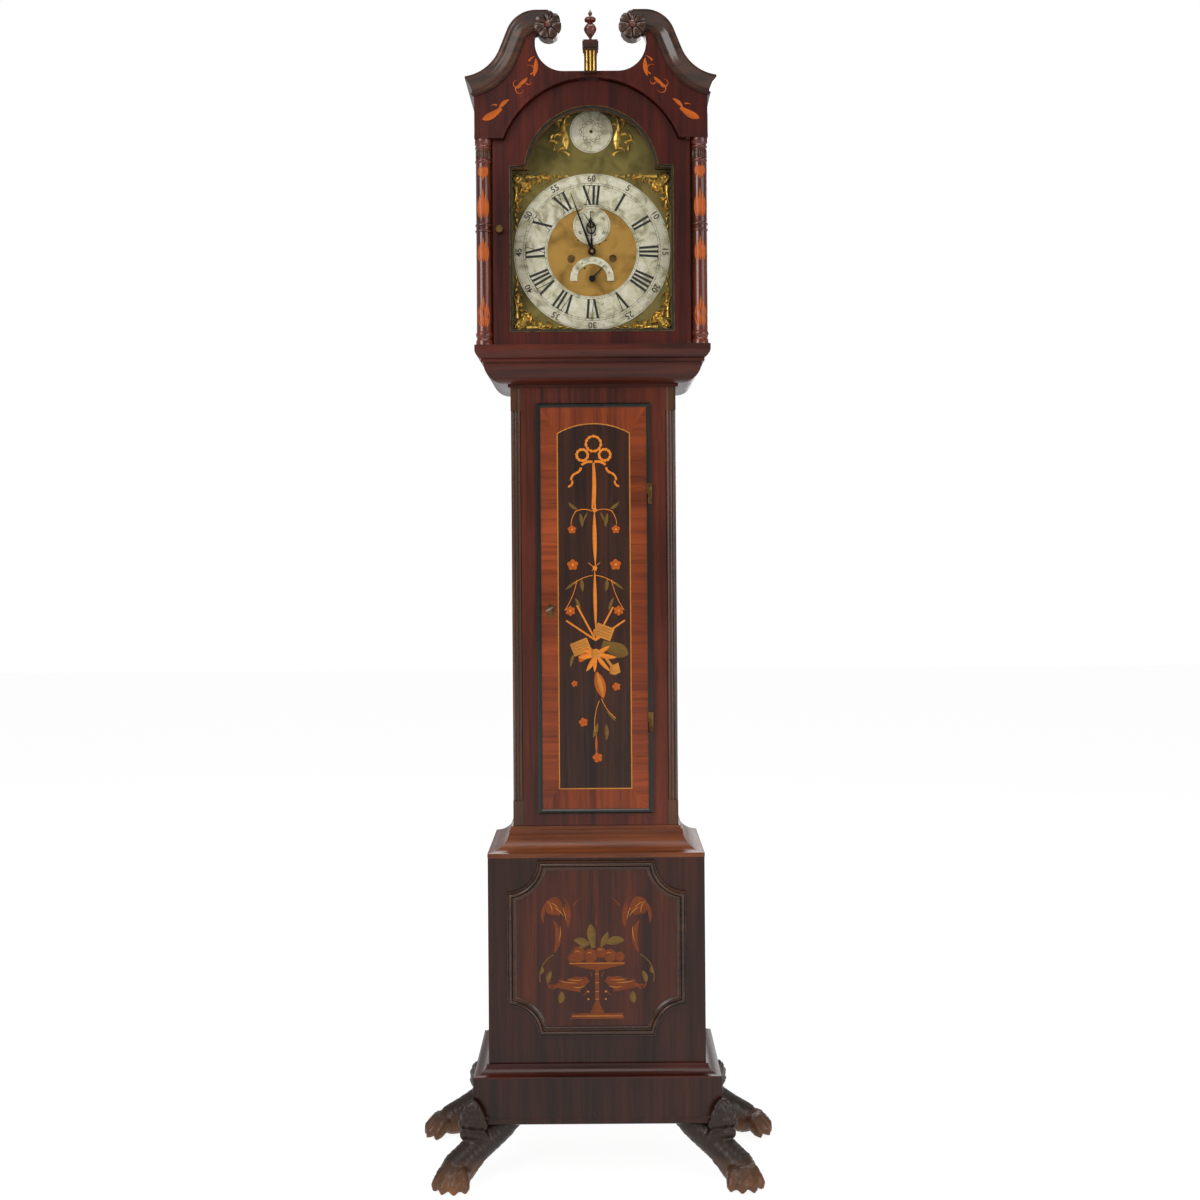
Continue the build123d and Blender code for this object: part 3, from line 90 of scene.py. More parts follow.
class Recipe:
    """A material's node tree, with short ways to add and join nodes."""

    def __init__(self, name: str) -> None:
        """Start a material with one Principled shader.

        Args:
            name: the material's name.
        """
        self.material = bpy.data.materials.new(name)
        self.material.use_nodes = True
        self.tree = self.material.node_tree
        self.shader = self.tree.nodes["Principled BSDF"]
        self.place = self.add("ShaderNodeTexCoord").outputs["Object"]

    def add(self, kind: str, **settings: object) -> bpy.types.Node:
        """Add a node and set its properties.

        Args:
            kind: the node's type name.
            settings: property names and values.

        Returns:
            The new node.
        """
        node = self.tree.nodes.new(kind)
        for key, value in settings.items():
            setattr(node, key, value)
        return node

    def join(self, output: bpy.types.NodeSocket, target: bpy.types.NodeSocket) -> None:
        """Link an output to an input."""
        self.tree.links.new(output, target)

    def stretched(self, scale: Sequence[float]) -> bpy.types.NodeSocket:
        """Object coordinates scaled by a different amount along each axis.

        Args:
            scale: the three factors.

        Returns:
            The vector output.
        """
        mapping = self.add("ShaderNodeMapping")
        mapping.inputs["Scale"].default_value = tuple(scale)
        self.join(self.place, mapping.inputs["Vector"])
        return mapping.outputs["Vector"]

    def noise(self, scale: Sequence[float], detail: float = 4.0, twist: float = 0.0) -> bpy.types.NodeSocket:
        """A noise pattern.

        Args:
            scale: repeats per metre along each axis.
            detail: how many finer layers it has.
            twist: how far the pattern is warped by itself.

        Returns:
            The factor output.
        """
        node = self.add("ShaderNodeTexNoise")
        node.inputs["Scale"].default_value = 1.0
        node.inputs["Detail"].default_value = detail
        node.inputs["Distortion"].default_value = twist
        self.join(self.stretched(scale), node.inputs["Vector"])
        return node.outputs["Fac"]

    def ramp(
        self, factor: bpy.types.NodeSocket, stops: Sequence[tuple[float, tuple]]
    ) -> bpy.types.NodeSocket:
        """A colour ramp over a factor.

        Args:
            factor: the value that picks the colour.
            stops: pairs of position and colour.

        Returns:
            The colour output.
        """
        node = self.add("ShaderNodeValToRGB")
        band = node.color_ramp
        while len(band.elements) < len(stops):
            band.elements.new(0.5)
        for element, (position, colour) in zip(band.elements, stops):
            element.position = position
            element.color = colour
        self.join(factor, node.inputs["Fac"])
        return node.outputs["Color"]

    def blend(
        self, factor: bpy.types.NodeSocket | float, one: object, two: object, mode: str = "MIX"
    ) -> bpy.types.NodeSocket:
        """Mix two colours.

        Args:
            factor: how much of the second colour, as a socket or a number.
            one: the first colour, as a socket or a colour.
            two: the second colour, as a socket or a colour.
            mode: the way of mixing.

        Returns:
            The colour output.
        """
        node = self.add("ShaderNodeMix", data_type="RGBA", blend_type=mode)
        for value, socket in ((factor, node.inputs[0]), (one, node.inputs[6]), (two, node.inputs[7])):
            if isinstance(value, bpy.types.NodeSocket):
                self.join(value, socket)
            else:
                socket.default_value = value
        return node.outputs[2]

    def bump(self, height: bpy.types.NodeSocket, strength: float, distance: float) -> None:
        """Roughen the surface by a height pattern.

        Args:
            height: the pattern.
            strength: how strongly it shows.
            distance: the depth that a full step stands for, in metres.
        """
        node = self.add("ShaderNodeBump")
        node.inputs["Strength"].default_value = strength
        node.inputs["Distance"].default_value = distance
        self.join(height, node.inputs["Height"])
        self.join(node.outputs["Normal"], self.shader.inputs["Normal"])


class Grain(Enum):
    """The way a board's grain runs, as noise repeats per metre along each axis."""

    UPRIGHT = (95.0, 95.0, 3.2)
    ACROSS = (3.2, 95.0, 95.0)
    FORE_AND_AFT = (95.0, 3.2, 95.0)


@dataclass(frozen=True)
class Wood:
    """A polished wood with grain, pores and cloudy colour."""

    name: str
    dark: tuple
    light: tuple
    grain: Grain = Grain.UPRIGHT
    gloss: float = 0.28
    cloud: float = 0.5
    polish: float = 0.22

    def material(self) -> bpy.types.Material:
        """Build the wood's material."""
        recipe = Recipe(self.name)
        run = self.grain.value
        fine = recipe.noise(run, 6.0, 0.6)
        wide = recipe.noise([value * 0.14 for value in run], 3.0, 1.4)
        clouds = recipe.noise((6.0, 6.0, 4.0), 2.0)
        streak = recipe.ramp(fine, [(0.3, self.dark), (0.62, self.light)])
        figure = recipe.ramp(wide, [(0.35, self.dark), (0.68, self.light)])
        body = recipe.blend(0.45, streak, figure)
        shade = recipe.ramp(clouds, [(0.3, (1 - self.cloud,) * 3 + (1,)), (0.7, (1, 1, 1, 1))])
        pores = recipe.noise([value * 6 for value in run], 2.0)
        pore_tone = recipe.ramp(pores, [(0.32, (0.45, 0.42, 0.4, 1)), (0.42, (1, 1, 1, 1))])
        colour = recipe.blend(1.0, body, shade, "MULTIPLY")
        recipe.join(recipe.blend(0.7, colour, pore_tone, "MULTIPLY"), recipe.shader.inputs["Base Color"])
        wear = recipe.ramp(clouds, [(0.35, (self.gloss,) * 3 + (1,)), (0.7, (self.gloss + 0.14,) * 3 + (1,))])
        recipe.join(wear, recipe.shader.inputs["Roughness"])
        recipe.shader.inputs["Coat Weight"].default_value = self.polish
        recipe.shader.inputs["Coat Roughness"].default_value = 0.16
        recipe.shader.inputs["Specular IOR Level"].default_value = 0.22
        recipe.bump(fine, 0.12, 0.0004)
        return recipe.material


@dataclass(frozen=True)
class Inlay:
    """A thin coloured veneer, scorched darker along one edge of each piece."""

    name: str
    tone: tuple
    scorch: tuple

    def material(self) -> bpy.types.Material:
        """Build the veneer's material."""
        recipe = Recipe(self.name)
        grain = recipe.noise((60.0, 60.0, 420.0), 5.0, 0.5)
        leaf = recipe.add("ShaderNodeUVMap", uv_map="across")
        parts = recipe.add("ShaderNodeSeparateXYZ")
        recipe.join(leaf.outputs["UV"], parts.inputs["Vector"])
        shade = recipe.ramp(
            parts.outputs["X"], [(0.05, (1, 1, 1, 1)), (0.5, (0.15, 0.15, 0.15, 1)), (0.9, (0, 0, 0, 1))]
        )
        tone = recipe.blend(0.35, self.tone, recipe.ramp(grain, [(0.3, self.scorch), (0.7, self.tone)]))
        recipe.join(recipe.blend(shade, tone, self.scorch), recipe.shader.inputs["Base Color"])
        recipe.shader.inputs["Roughness"].default_value = 0.36
        recipe.shader.inputs["Specular IOR Level"].default_value = 0.2
        recipe.shader.inputs["Coat Weight"].default_value = 0.12
        recipe.shader.inputs["Coat Roughness"].default_value = 0.2
        recipe.bump(grain, 0.08, 0.0003)
        return recipe.material


@dataclass(frozen=True)
class Metal:
    """A metal with mottled tarnish and a fine surface texture."""

    name: str
    bright: tuple
    tarnish: tuple
    roughness: float = 0.3
    mottle: float = 45.0
    stain: float = 0.5
    texture: float = 900.0
    depth: float = 0.0002

    def material(self) -> bpy.types.Material:
        """Build the metal's material."""
        recipe = Recipe(self.name)
        patches = recipe.noise((self.mottle,) * 3, 6.0, 0.8)
        colour = recipe.ramp(patches, [(self.stain - 0.16, self.tarnish), (self.stain + 0.14, self.bright)])
        fine = recipe.noise((self.texture,) * 3, 3.0)
        recipe.join(colour, recipe.shader.inputs["Base Color"])
        rough = recipe.ramp(
            patches, [(0.3, (self.roughness + 0.2,) * 3 + (1,)), (0.7, (self.roughness,) * 3 + (1,))]
        )
        recipe.join(rough, recipe.shader.inputs["Roughness"])
        recipe.shader.inputs["Metallic"].default_value = 0.85
        recipe.bump(fine, 0.35, self.depth)
        return recipe.material


@dataclass(frozen=True)
class Silvered:
    """Silvered brass, with grey stains where the silvering has worn."""

    name: str

    def material(self) -> bpy.types.Material:
        """Build the silvered material."""
        recipe = Recipe(self.name)
        stains = recipe.noise((38.0, 38.0, 38.0), 8.0, 1.2)
        scuffs = recipe.noise((160.0, 160.0, 160.0), 8.0, 2.0)
        base = recipe.ramp(
            stains,
            [(0.36, linear(160, 154, 124)), (0.48, linear(206, 200, 170)), (0.66, linear(222, 218, 196))]
        )
        marks = recipe.ramp(scuffs, [(0.3, (0.5, 0.48, 0.42, 1)), (0.43, (1, 1, 1, 1))])
        recipe.join(recipe.blend(0.8, base, marks, "MULTIPLY"), recipe.shader.inputs["Base Color"])
        recipe.shader.inputs["Metallic"].default_value = 0.25
        recipe.shader.inputs["Roughness"].default_value = 0.42
        recipe.bump(scuffs, 0.15, 0.0002)
        return recipe.material


@dataclass(frozen=True)
class Enamel:
    """A plain dark filling or paint, a little uneven; it also gives the painted shade band round the hood door's
    glass.
    """

    name: str
    tone: tuple
    roughness: float = 0.45

    def material(self) -> bpy.types.Material:
        """Build the filling's material."""
        recipe = Recipe(self.name)
        speckle = recipe.noise((300.0, 300.0, 300.0), 4.0)
        faded = tuple(min(1.0, value * 2.2 + 0.01) for value in self.tone[:3]) + (1.0,)
        recipe.join(
            recipe.ramp(speckle, [(0.45, self.tone), (0.8, faded)]), recipe.shader.inputs["Base Color"]
        )
        recipe.shader.inputs["Roughness"].default_value = self.roughness
        recipe.bump(speckle, 0.1, 0.0002)
        return recipe.material


@dataclass(frozen=True)
class Carving:
    """Dark stained carving, rubbed back to bare wood on its high, low-lying parts."""

    name: str
    stain: tuple
    bare: tuple
    worn_height: float = 0.05

    def material(self) -> bpy.types.Material:
        """Build the carved wood's material."""
        recipe = Recipe(self.name)
        fine = recipe.noise((160.0, 160.0, 60.0), 5.0, 0.8)
        patches = recipe.noise((34.0, 34.0, 34.0), 5.0, 0.6)
        parts = recipe.add("ShaderNodeSeparateXYZ")
        recipe.join(recipe.place, parts.inputs["Vector"])
        low = recipe.add("ShaderNodeMapRange")
        for name, value in (
            ("From Min", self.worn_height), ("From Max", 0.008), ("To Min", 0.0), ("To Max", 0.85)
        ):
            low.inputs[name].default_value = value
        recipe.join(parts.outputs["Z"], low.inputs["Value"])
        rub = recipe.add("ShaderNodeMath", operation="MULTIPLY")
        recipe.join(low.outputs["Result"], rub.inputs[0])
        recipe.join(patches, rub.inputs[1])
        dark = recipe.ramp(fine, [(0.3, tuple(v * 0.5 for v in self.stain[:3]) + (1,)), (0.7, self.stain)])
        recipe.join(recipe.blend(rub.outputs[0], dark, self.bare), recipe.shader.inputs["Base Color"])
        recipe.shader.inputs["Roughness"].default_value = 0.4
        recipe.shader.inputs["Specular IOR Level"].default_value = 0.3
        recipe.shader.inputs["Coat Weight"].default_value = 0.12
        recipe.shader.inputs["Coat Roughness"].default_value = 0.3
        recipe.bump(fine, 0.3, 0.0008)
        return recipe.material


@dataclass(frozen=True)
class Glass:
    """Clear old window glass."""

    name: str

    def material(self) -> bpy.types.Material:
        """Build the glass's material."""
        recipe = Recipe(self.name)
        recipe.shader.inputs["Base Color"].default_value = (0.02, 0.025, 0.022, 1)
        recipe.shader.inputs["Roughness"].default_value = 0.03
        recipe.shader.inputs["Specular IOR Level"].default_value = 0.25
        recipe.shader.inputs["Alpha"].default_value = 0.05
        recipe.bump(recipe.noise((9.0, 9.0, 9.0), 2.0), 0.05, 0.002)
        return recipe.material


@dataclass
class Palette:
    """Every finish on the clock, made when it is first asked for."""

    finishes: dict[str, object] = field(
        default_factory=lambda: {
            finish.name: finish
            for finish in (
                Wood("case_mahogany", linear(40, 12, 6), linear(104, 40, 18)),
                Wood("rail_mahogany", linear(36, 10, 5), linear(92, 34, 15), Grain.ACROSS),
                Wood("hood_mahogany", linear(34, 9, 6), linear(88, 27, 14), gloss=0.24),
                Wood("turned_mahogany", linear(46, 13, 8), linear(118, 44, 20), gloss=0.16, polish=0.6),
                Wood("cove_mahogany", linear(66, 27, 10), linear(138, 72, 32), Grain.ACROSS),
                Wood("dark_mahogany", linear(24, 9, 5), linear(66, 28, 14)),
                Wood("base_panel_wood", linear(42, 15, 7), linear(92, 38, 17)),
                Wood(
                    "moulding_mahogany", linear(28, 15, 9), linear(84, 50, 31), Grain.ACROSS, gloss=0.2,
                    polish=0.5
                ),
                Wood("crossbanding", linear(86, 32, 12), linear(158, 70, 26), Grain.ACROSS),
                Wood("crossbanding_rails", linear(86, 32, 12), linear(158, 70, 26), Grain.UPRIGHT),
                Wood("rosewood_field", linear(22, 11, 7), linear(72, 36, 19)),
                Wood("ebonised", linear(7, 8, 7), linear(36, 38, 31), gloss=0.22, polish=0.4),
                Wood("oak", linear(78, 52, 30), linear(140, 104, 66), gloss=0.6, polish=0.0),
                Wood("reeded_mahogany", linear(30, 16, 8), linear(96, 56, 28), gloss=0.24, polish=0.4),
                Inlay("satinwood", linear(224, 132, 40), linear(150, 72, 20)),
                Inlay("boxwood", linear(196, 128, 50), linear(120, 66, 24)),
                Inlay("green_leaf", linear(118, 88, 34), linear(50, 36, 16)),
                Inlay("padouk", linear(186, 90, 20), linear(108, 42, 10)),
                Inlay("dull_padouk", linear(120, 56, 16), linear(64, 26, 9)),
                Metal("gilt", linear(232, 190, 92), linear(120, 88, 34), 0.3, 90.0, 0.42),
                Metal(
                    "matted_brass", linear(172, 134, 66), linear(128, 98, 44), 0.55, 26.0, 0.42, 2600.0,
                    0.0006
                ),
                Metal(
                    "arch_brass", linear(134, 120, 66), linear(88, 78, 38), 0.5, 20.0, 0.44, 2200.0, 0.0003
                ),
                Metal("polished_brass", linear(190, 150, 78), linear(120, 88, 40), 0.24, 30.0, 0.42),
                Metal("old_brass", linear(120, 92, 48), linear(54, 42, 24), 0.34, 60.0, 0.5),
                Metal("blued_steel", linear(30, 30, 36), linear(14, 14, 17), 0.3, 80.0, 0.5),
                Metal("bright_steel", linear(150, 148, 144), linear(92, 88, 82), 0.28, 60.0, 0.45),
                Metal("bell_metal", linear(170, 146, 96), linear(112, 92, 56), 0.3, 40.0, 0.45),
                Metal("painted_lead", linear(62, 60, 58), linear(38, 36, 34), 0.5, 30.0, 0.5),
                Silvered("silvered"),
                Enamel("black_wax", linear(22, 20, 18)),
                # painted shade: a near-black band that stands in for the shadow inside the hood door's sight edge
                Enamel("dark_slip", linear(30, 28, 22), 0.3),
                Enamel("gut", linear(140, 110, 66), 0.6),
                Carving("carved_wood", linear(46, 31, 22), linear(150, 96, 56)),
                Glass("window_glass"),
            )
        }
    )
    made: dict[str, bpy.types.Material] = field(default_factory=dict)

    def get(self, name: str) -> bpy.types.Material:
        """The material of one finish.

        Args:
            name: the finish's name.

        Returns:
            The material, built once.
        """
        if name not in self.made:
            self.made[name] = self.finishes[name].material()
        return self.made[name]


# Meshes


def finished(
    name: str, shape: bmesh.types.BMesh, material: bpy.types.Material, smooth: float = 40.0
) -> bpy.types.Object:
    """Turn a shape into an object with its faces outwards.

    Args:
        name: the object's name.
        shape: the shape, which is used up.
        material: its finish.
        smooth: the angle in degrees under which faces shade as one surface.

    Returns:
        The new object.
    """
    bmesh.ops.remove_doubles(shape, verts=shape.verts, dist=1e-6)
    bmesh.ops.recalc_face_normals(shape, faces=shape.faces)
    mesh = bpy.data.meshes.new(name)
    shape.to_mesh(mesh)
    shape.free()
    mesh.materials.append(material)
    piece = bpy.data.objects.new(name, mesh)
    bpy.context.collection.objects.link(piece)
    if smooth > 0:
        mesh.polygons.foreach_set("use_smooth", [True] * len(mesh.polygons))
        mesh.set_sharp_from_angle(angle=math.radians(smooth))
    return piece


def bridge(
    shape: bmesh.types.BMesh, rings: Sequence[Sequence[bmesh.types.BMVert]], capped: bool = True
) -> None:
    """Skin a row of closed rings, and cap both ends.

    Args:
        shape: the shape that gets the faces.
        rings: rings with the same number of corners.
        capped: whether the first and last ring are closed with a face.
    """
    for low, high in zip(rings, rings[1:]):
        for corner in range(len(low)):
            after = (corner + 1) % len(low)
            shape.faces.new((low[corner], low[after], high[after], high[corner]))
    if capped:
        shape.faces.new(list(reversed(rings[0])))
        shape.faces.new(rings[-1])


def smoothed(points: Sequence[Point], steps: int) -> list[Point]:
    """Round a profile off with a curve that goes through its points.

    Args:
        points: the profile.
        steps: the stretches in each span.

    Returns:
        The finer profile.
    """
    result = []
    for index in range(len(points) - 1):
        around = [Vector(points[max(0, min(len(points) - 1, index + shift))]) for shift in (-1, 0, 1, 2)]
        for step in range(steps):
            t = step / steps
            result.append(
                tuple(
                    0.5
                    * (
                        2 * around[1]
                        + (around[2] - around[0]) * t
                        + (2 * around[0] - 5 * around[1] + 4 * around[2] - around[3]) * t * t
                        + (3 * around[1] - around[0] - 3 * around[2] + around[3]) * t**3
                    )
                )
            )
    return result + [tuple(points[-1])]


def turn(shape: bmesh.types.BMesh, profile: Sequence[Point], place: Matrix, sides: int = 48) -> None:
    """Turn a profile about the place's upright axis.

    Args:
        shape: the shape that gets the faces.
        profile: pairs of radius and height, in millimetres, from bottom to top.
        place: where the axis stands.
        sides: the corners round the axis.
    """
    rings = []
    for radius, height in profile:
        ring = []
        for side in range(sides):
            angle = 2 * math.pi * side / sides
            spot = Vector((radius * math.cos(angle), radius * math.sin(angle), height)) * MM
            ring.append(shape.verts.new(place @ spot))
        rings.append(ring)
    bridge(shape, rings)


class Taper(Enum):
    """How a strip's width changes along its length."""

    LEAF = "leaf"
    TAIL = "tail"
    RIBBON = "ribbon"
    BUD = "bud"

    def width(self, share: float) -> float:
        """The share of the full width at a share of the length."""
        if self is Taper.LEAF:
            return math.sin(math.pi * min(1.0, share * 0.97 + 0.03)) ** 0.8
        if self is Taper.TAIL:
            return 1.0 - 0.93 * share
        if self is Taper.BUD:
            return math.sin(math.pi * (0.12 + 0.86 * share**1.6)) ** 0.7
        return 1.0


@dataclass
class Stroke:
    """One cut piece of veneer or one carved frond, along a curving centre line.

    Start, length and width are in millimetres, angles in degrees: 0 points right, 90 up.
    """

    x: float
    z: float
    heading: float
    length: float
    bend: float = 0.0
    width: float = 4.0
    taper: Taper = Taper.LEAF

    def line(self, steps: int = 14) -> list[tuple[Vector, Vector]]:
        """The centre line, as points and unit directions.

        Args:
            steps: how many stretches it has.

        Returns:
            Pairs of place and direction.
        """
        spot = Vector((self.x, self.z))
        result = []
        for step in range(steps + 1):
            angle = math.radians(self.heading + self.bend * (step / steps))
            ahead = Vector((math.cos(angle), math.sin(angle)))
            result.append((spot.copy(), ahead))
            spot += ahead * self.length / steps
        return result

    def mirrored(self) -> "Stroke":
        """The same stroke on the other side of the middle line."""
        return Stroke(-self.x, self.z, 180 - self.heading, self.length, -self.bend, self.width, self.taper)


@dataclass
class Ornament:
    """Strokes that lie on one upright plane facing the front, as flat inlay or as relief."""

    y: float
    rise: float
    domed: bool = False
    centre: Point = (0.0, 0.0)
    shape: bmesh.types.BMesh = field(default_factory=bmesh.new)
    layers: int = 0

    def next_rise(self, rise: float | None) -> float:
        """The height of the next piece: each lies a hair over the last, so that no two faces meet."""
        self.layers += 1
        return (self.rise if rise is None else rise) + 0.004 * (self.layers % 23)

    def corner(self, spot: Vector, lift: float) -> bmesh.types.BMVert:
        """One corner at a place on the plane, lifted towards the front."""
        return self.shape.verts.new((
            (self.centre[0] + spot.x) * MM, (self.y - lift) * MM, (self.centre[1] + spot.y) * MM
        ))

    def stroke(self, stroke: Stroke, rise: float | None = None) -> None:
        """Add one stroke.

        Args:
            stroke: the stroke.
            rise: its height above the plane in millimetres, if not the ornament's own.
        """
        height = self.next_rise(rise)
        layer = self.shape.loops.layers.uv.get("across") or self.shape.loops.layers.uv.new("across")
        shares = (-1.0, -0.6, 0.0, 0.6, 1.0) if self.domed else (-1.0, 1.0)
        line = stroke.line()
        rings = []
        for index, (spot, ahead) in enumerate(line):
            half = max(0.12, stroke.width / 2 * stroke.taper.width(index / (len(line) - 1)))
            side = Vector((-ahead.y, ahead.x))
            ring = [self.corner(spot - side * half, 0.0)]
            for share in shares:
                lift = height * (1 - 0.75 * share * share) if self.domed else height
                ring.append(self.corner(spot + side * half * share, lift))
            ring.append(self.corner(spot + side * half, 0.0))
            rings.append(ring)
        first = len(self.shape.faces)
        bridge(self.shape, rings)
        self.shape.faces.ensure_lookup_table()
        width = len(rings[0])
        index_of = {vert: (row, column) for row, ring in enumerate(rings) for column, vert in enumerate(ring)}
        for face in list(self.shape.faces)[first:]:
            for loop in face.loops:
                row, column = index_of[loop.vert]
                loop[layer].uv = (column / (width - 1), row / (len(rings) - 1))

    def strokes(self, strokes: Iterable[Stroke], both: bool = False) -> None:
        """Add several strokes, and their mirror images if asked."""
        for stroke in strokes:
            self.stroke(stroke)
            if both:
                self.stroke(stroke.mirrored())

    def button(self, x: float, z: float, radius: float, rise: float | None = None, sides: int = 16) -> None:
        """Add a round piece, domed where the ornament is relief.

        Args:
            x: its centre across, in millimetres.
            z: its centre up, in millimetres.
            radius: its radius in millimetres.
            rise: its height, if not the ornament's own.
            sides: its corners.
        """
        height = self.next_rise(rise)
        steps = (
            (1.0, 0.0), (0.98, 0.45), (0.7, 0.85), (0.3, 1.0)
        ) if self.domed else ((1.0, 0.0), (1.0, 1.0))
        rings = []
        for share, lift in steps:
            ring = []
            for side in range(sides):
                angle = 2 * math.pi * side / sides
                offset = Vector((math.cos(angle), math.sin(angle))) * radius * share
                ring.append(self.corner(Vector((x, z)) + offset, lift * height))
            rings.append(ring)
        first = len(self.shape.faces)
        bridge(self.shape, rings)
        self.tone(first)

    def tone(self, first: int) -> None:
        """Mark the faces from one number on as unscorched, with a little shade at their left.

        Args:
            first: the first face's number.
        """
        layer = self.shape.loops.layers.uv.get("across") or self.shape.loops.layers.uv.new("across")
        self.shape.faces.ensure_lookup_table()
        fresh = self.shape.faces[first:]
        across = [loop.vert.co.x for face in fresh for loop in face.loops]
        low, span = min(across), max(1e-6, max(across) - min(across))
        for face in fresh:
            for loop in face.loops:
                loop[layer].uv = (0.3 + 0.6 * (loop.vert.co.x - low) / span, 0.5)

    def slab(self, corners: Sequence[Point], rise: float | None = None) -> None:
        """Add a flat piece with the given outline, in millimetres."""
        height = self.next_rise(rise)
        first = len(self.shape.faces)
        bridge(
            self.shape, [[self.corner(Vector(point), lift) for point in corners] for lift in (0.0, height)]
        )
        self.tone(first)

    def flower(self, x: float, z: float, radius: float, petals: int, turn_by: float = 0.0) -> None:
        """Add an open flower of overlapping petals.

        Args:
            x: its centre across, in millimetres.
            z: its centre up, in millimetres.
            radius: its radius in millimetres.
            petals: how many petals it has.
            turn_by: how far it is turned, in degrees.
        """
        for petal in range(petals):
            angle = turn_by + 360 * petal / petals
            self.stroke(Stroke(x, z, angle, radius, 0, radius * 4.2 / petals, Taper.BUD))

    def done(self, name: str, material: bpy.types.Material, body: str) -> bpy.types.Object:
        """Finish the ornament and seat it on its body.

        Args:
            name: the piece's name.
            material: its finish.
            body: the body that it rides on.

        Returns:
            The piece.
        """
        piece = finished(name, self.shape, material, 50.0 if self.domed else 0.0)
        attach(piece, body)
        return piece


def ring_points(radius: float, start: float, end: float, steps: int, centre: Point = (0, 0)) -> list[Point]:
    """Points along an arc.

    Args:
        radius: the arc's radius.
        start: its first angle in degrees.
        end: its last angle in degrees.
        steps: how many stretches it has.
        centre: the arc's centre.

    Returns:
        The points, both ends included.
    """
    angles = [math.radians(start + (end - start) * step / steps) for step in range(steps + 1)]
    return [(centre[0] + radius * math.cos(angle), centre[1] + radius * math.sin(angle)) for angle in angles]


class RingRepeat:
    """A node tree that repeats one piece round an axis that runs from front to back."""

    def __init__(self) -> None:
        """Build the tree with named inputs for its sizes."""
        self.tree = bpy.data.node_groups.new("repeat_round_axis", "GeometryNodeTree")
        face = self.tree.interface
        face.new_socket("Geometry", in_out="OUTPUT", socket_type="NodeSocketGeometry")
        self.ids = {
            "Piece": face.new_socket("Piece", in_out="INPUT", socket_type="NodeSocketObject").identifier,
            "Count": face.new_socket("Count", in_out="INPUT", socket_type="NodeSocketInt").identifier,
            "Step": face.new_socket("Step", in_out="INPUT", socket_type="NodeSocketFloat").identifier,
            "Start": face.new_socket("Start", in_out="INPUT", socket_type="NodeSocketFloat").identifier,
            "Centre": face.new_socket("Centre", in_out="INPUT", socket_type="NodeSocketVector").identifier,
            "Tilt": face.new_socket("Tilt", in_out="INPUT", socket_type="NodeSocketVector").identifier,
            "Finish": face.new_socket("Finish", in_out="INPUT", socket_type="NodeSocketMaterial").identifier,
        }
        new, link = self.tree.nodes.new, self.tree.links.new
        given, out = new("NodeGroupInput"), new("NodeGroupOutput")
        row, place = new("GeometryNodeMeshLine"), new("GeometryNodeInstanceOnPoints")
        row.inputs["Offset"].default_value = (0, 0, 0)
        info = new("GeometryNodeObjectInfo")
        count, times, plus = new("GeometryNodeInputIndex"), new("ShaderNodeMath"), new("ShaderNodeMath")
        times.operation, plus.operation = "MULTIPLY", "ADD"
        angle, move = new("ShaderNodeCombineXYZ"), new("GeometryNodeTransform")
        solid, dress = new("GeometryNodeRealizeInstances"), new("GeometryNodeSetMaterial")
        link(given.outputs["Count"], row.inputs["Count"])
        link(given.outputs["Piece"], info.inputs["Object"])
        link(row.outputs["Mesh"], place.inputs["Points"])
        link(info.outputs["Geometry"], place.inputs["Instance"])
        link(count.outputs[0], times.inputs[0])
        link(given.outputs["Step"], times.inputs[1])
        link(times.outputs[0], plus.inputs[0])
        link(given.outputs["Start"], plus.inputs[1])
        link(plus.outputs[0], angle.inputs["Z"])
        link(angle.outputs["Vector"], place.inputs["Rotation"])
        link(place.outputs["Instances"], move.inputs["Geometry"])
        link(given.outputs["Centre"], move.inputs["Translation"])
        link(given.outputs["Tilt"], move.inputs["Rotation"])
        link(move.outputs["Geometry"], solid.inputs["Geometry"])
        link(solid.outputs["Geometry"], dress.inputs["Geometry"])
        link(given.outputs["Finish"], dress.inputs["Material"])
        link(dress.outputs["Geometry"], out.inputs["Geometry"])

    def repeat(
        self,
        name: str,
        unit: bpy.types.Object,
        count: int,
        centre: Sequence[float],
        finish: bpy.types.Material,
        upright: bool = False,
        start: float = 0.0,
        sweep: float = 360.0,
    ) -> bpy.types.Object:
        """Repeat a unit round an axis and return one plain mesh.

        Args:
            name: the piece's name.
            unit: the piece to repeat, drawn round the origin; it is used up.
            count: how many copies.
            centre: where the axis passes, in metres.
            finish: the material.
            upright: whether the axis stands upright instead of running to the back.
            start: the first copy's angle in degrees.
            sweep: the angle that the copies share, in degrees.

        Returns:
            The new object.
        """
        holder = bpy.data.objects.new(name + "_holder", bpy.data.meshes.new(name + "_holder"))
        bpy.context.collection.objects.link(holder)
        modifier = holder.modifiers.new("repeat", "NODES")
        modifier.node_group = self.tree
        values = {
            "Piece": unit,
            "Count": count,
            "Step": math.radians(sweep / count),
            "Start": math.radians(start),
            "Centre": tuple(centre),
            "Tilt": (0.0, 0.0, 0.0) if upright else (math.pi / 2, 0.0, 0.0),
            "Finish": finish,
        }
        for key, value in values.items():
            modifier[self.ids[key]] = value
        graph = bpy.context.evaluated_depsgraph_get()
        mesh = bpy.data.meshes.new_from_object(holder.evaluated_get(graph))
        mesh.name = name
        piece = bpy.data.objects.new(name, mesh)
        bpy.context.collection.objects.link(piece)
        bpy.data.objects.remove(holder)
        bpy.data.objects.remove(unit)
        return piece


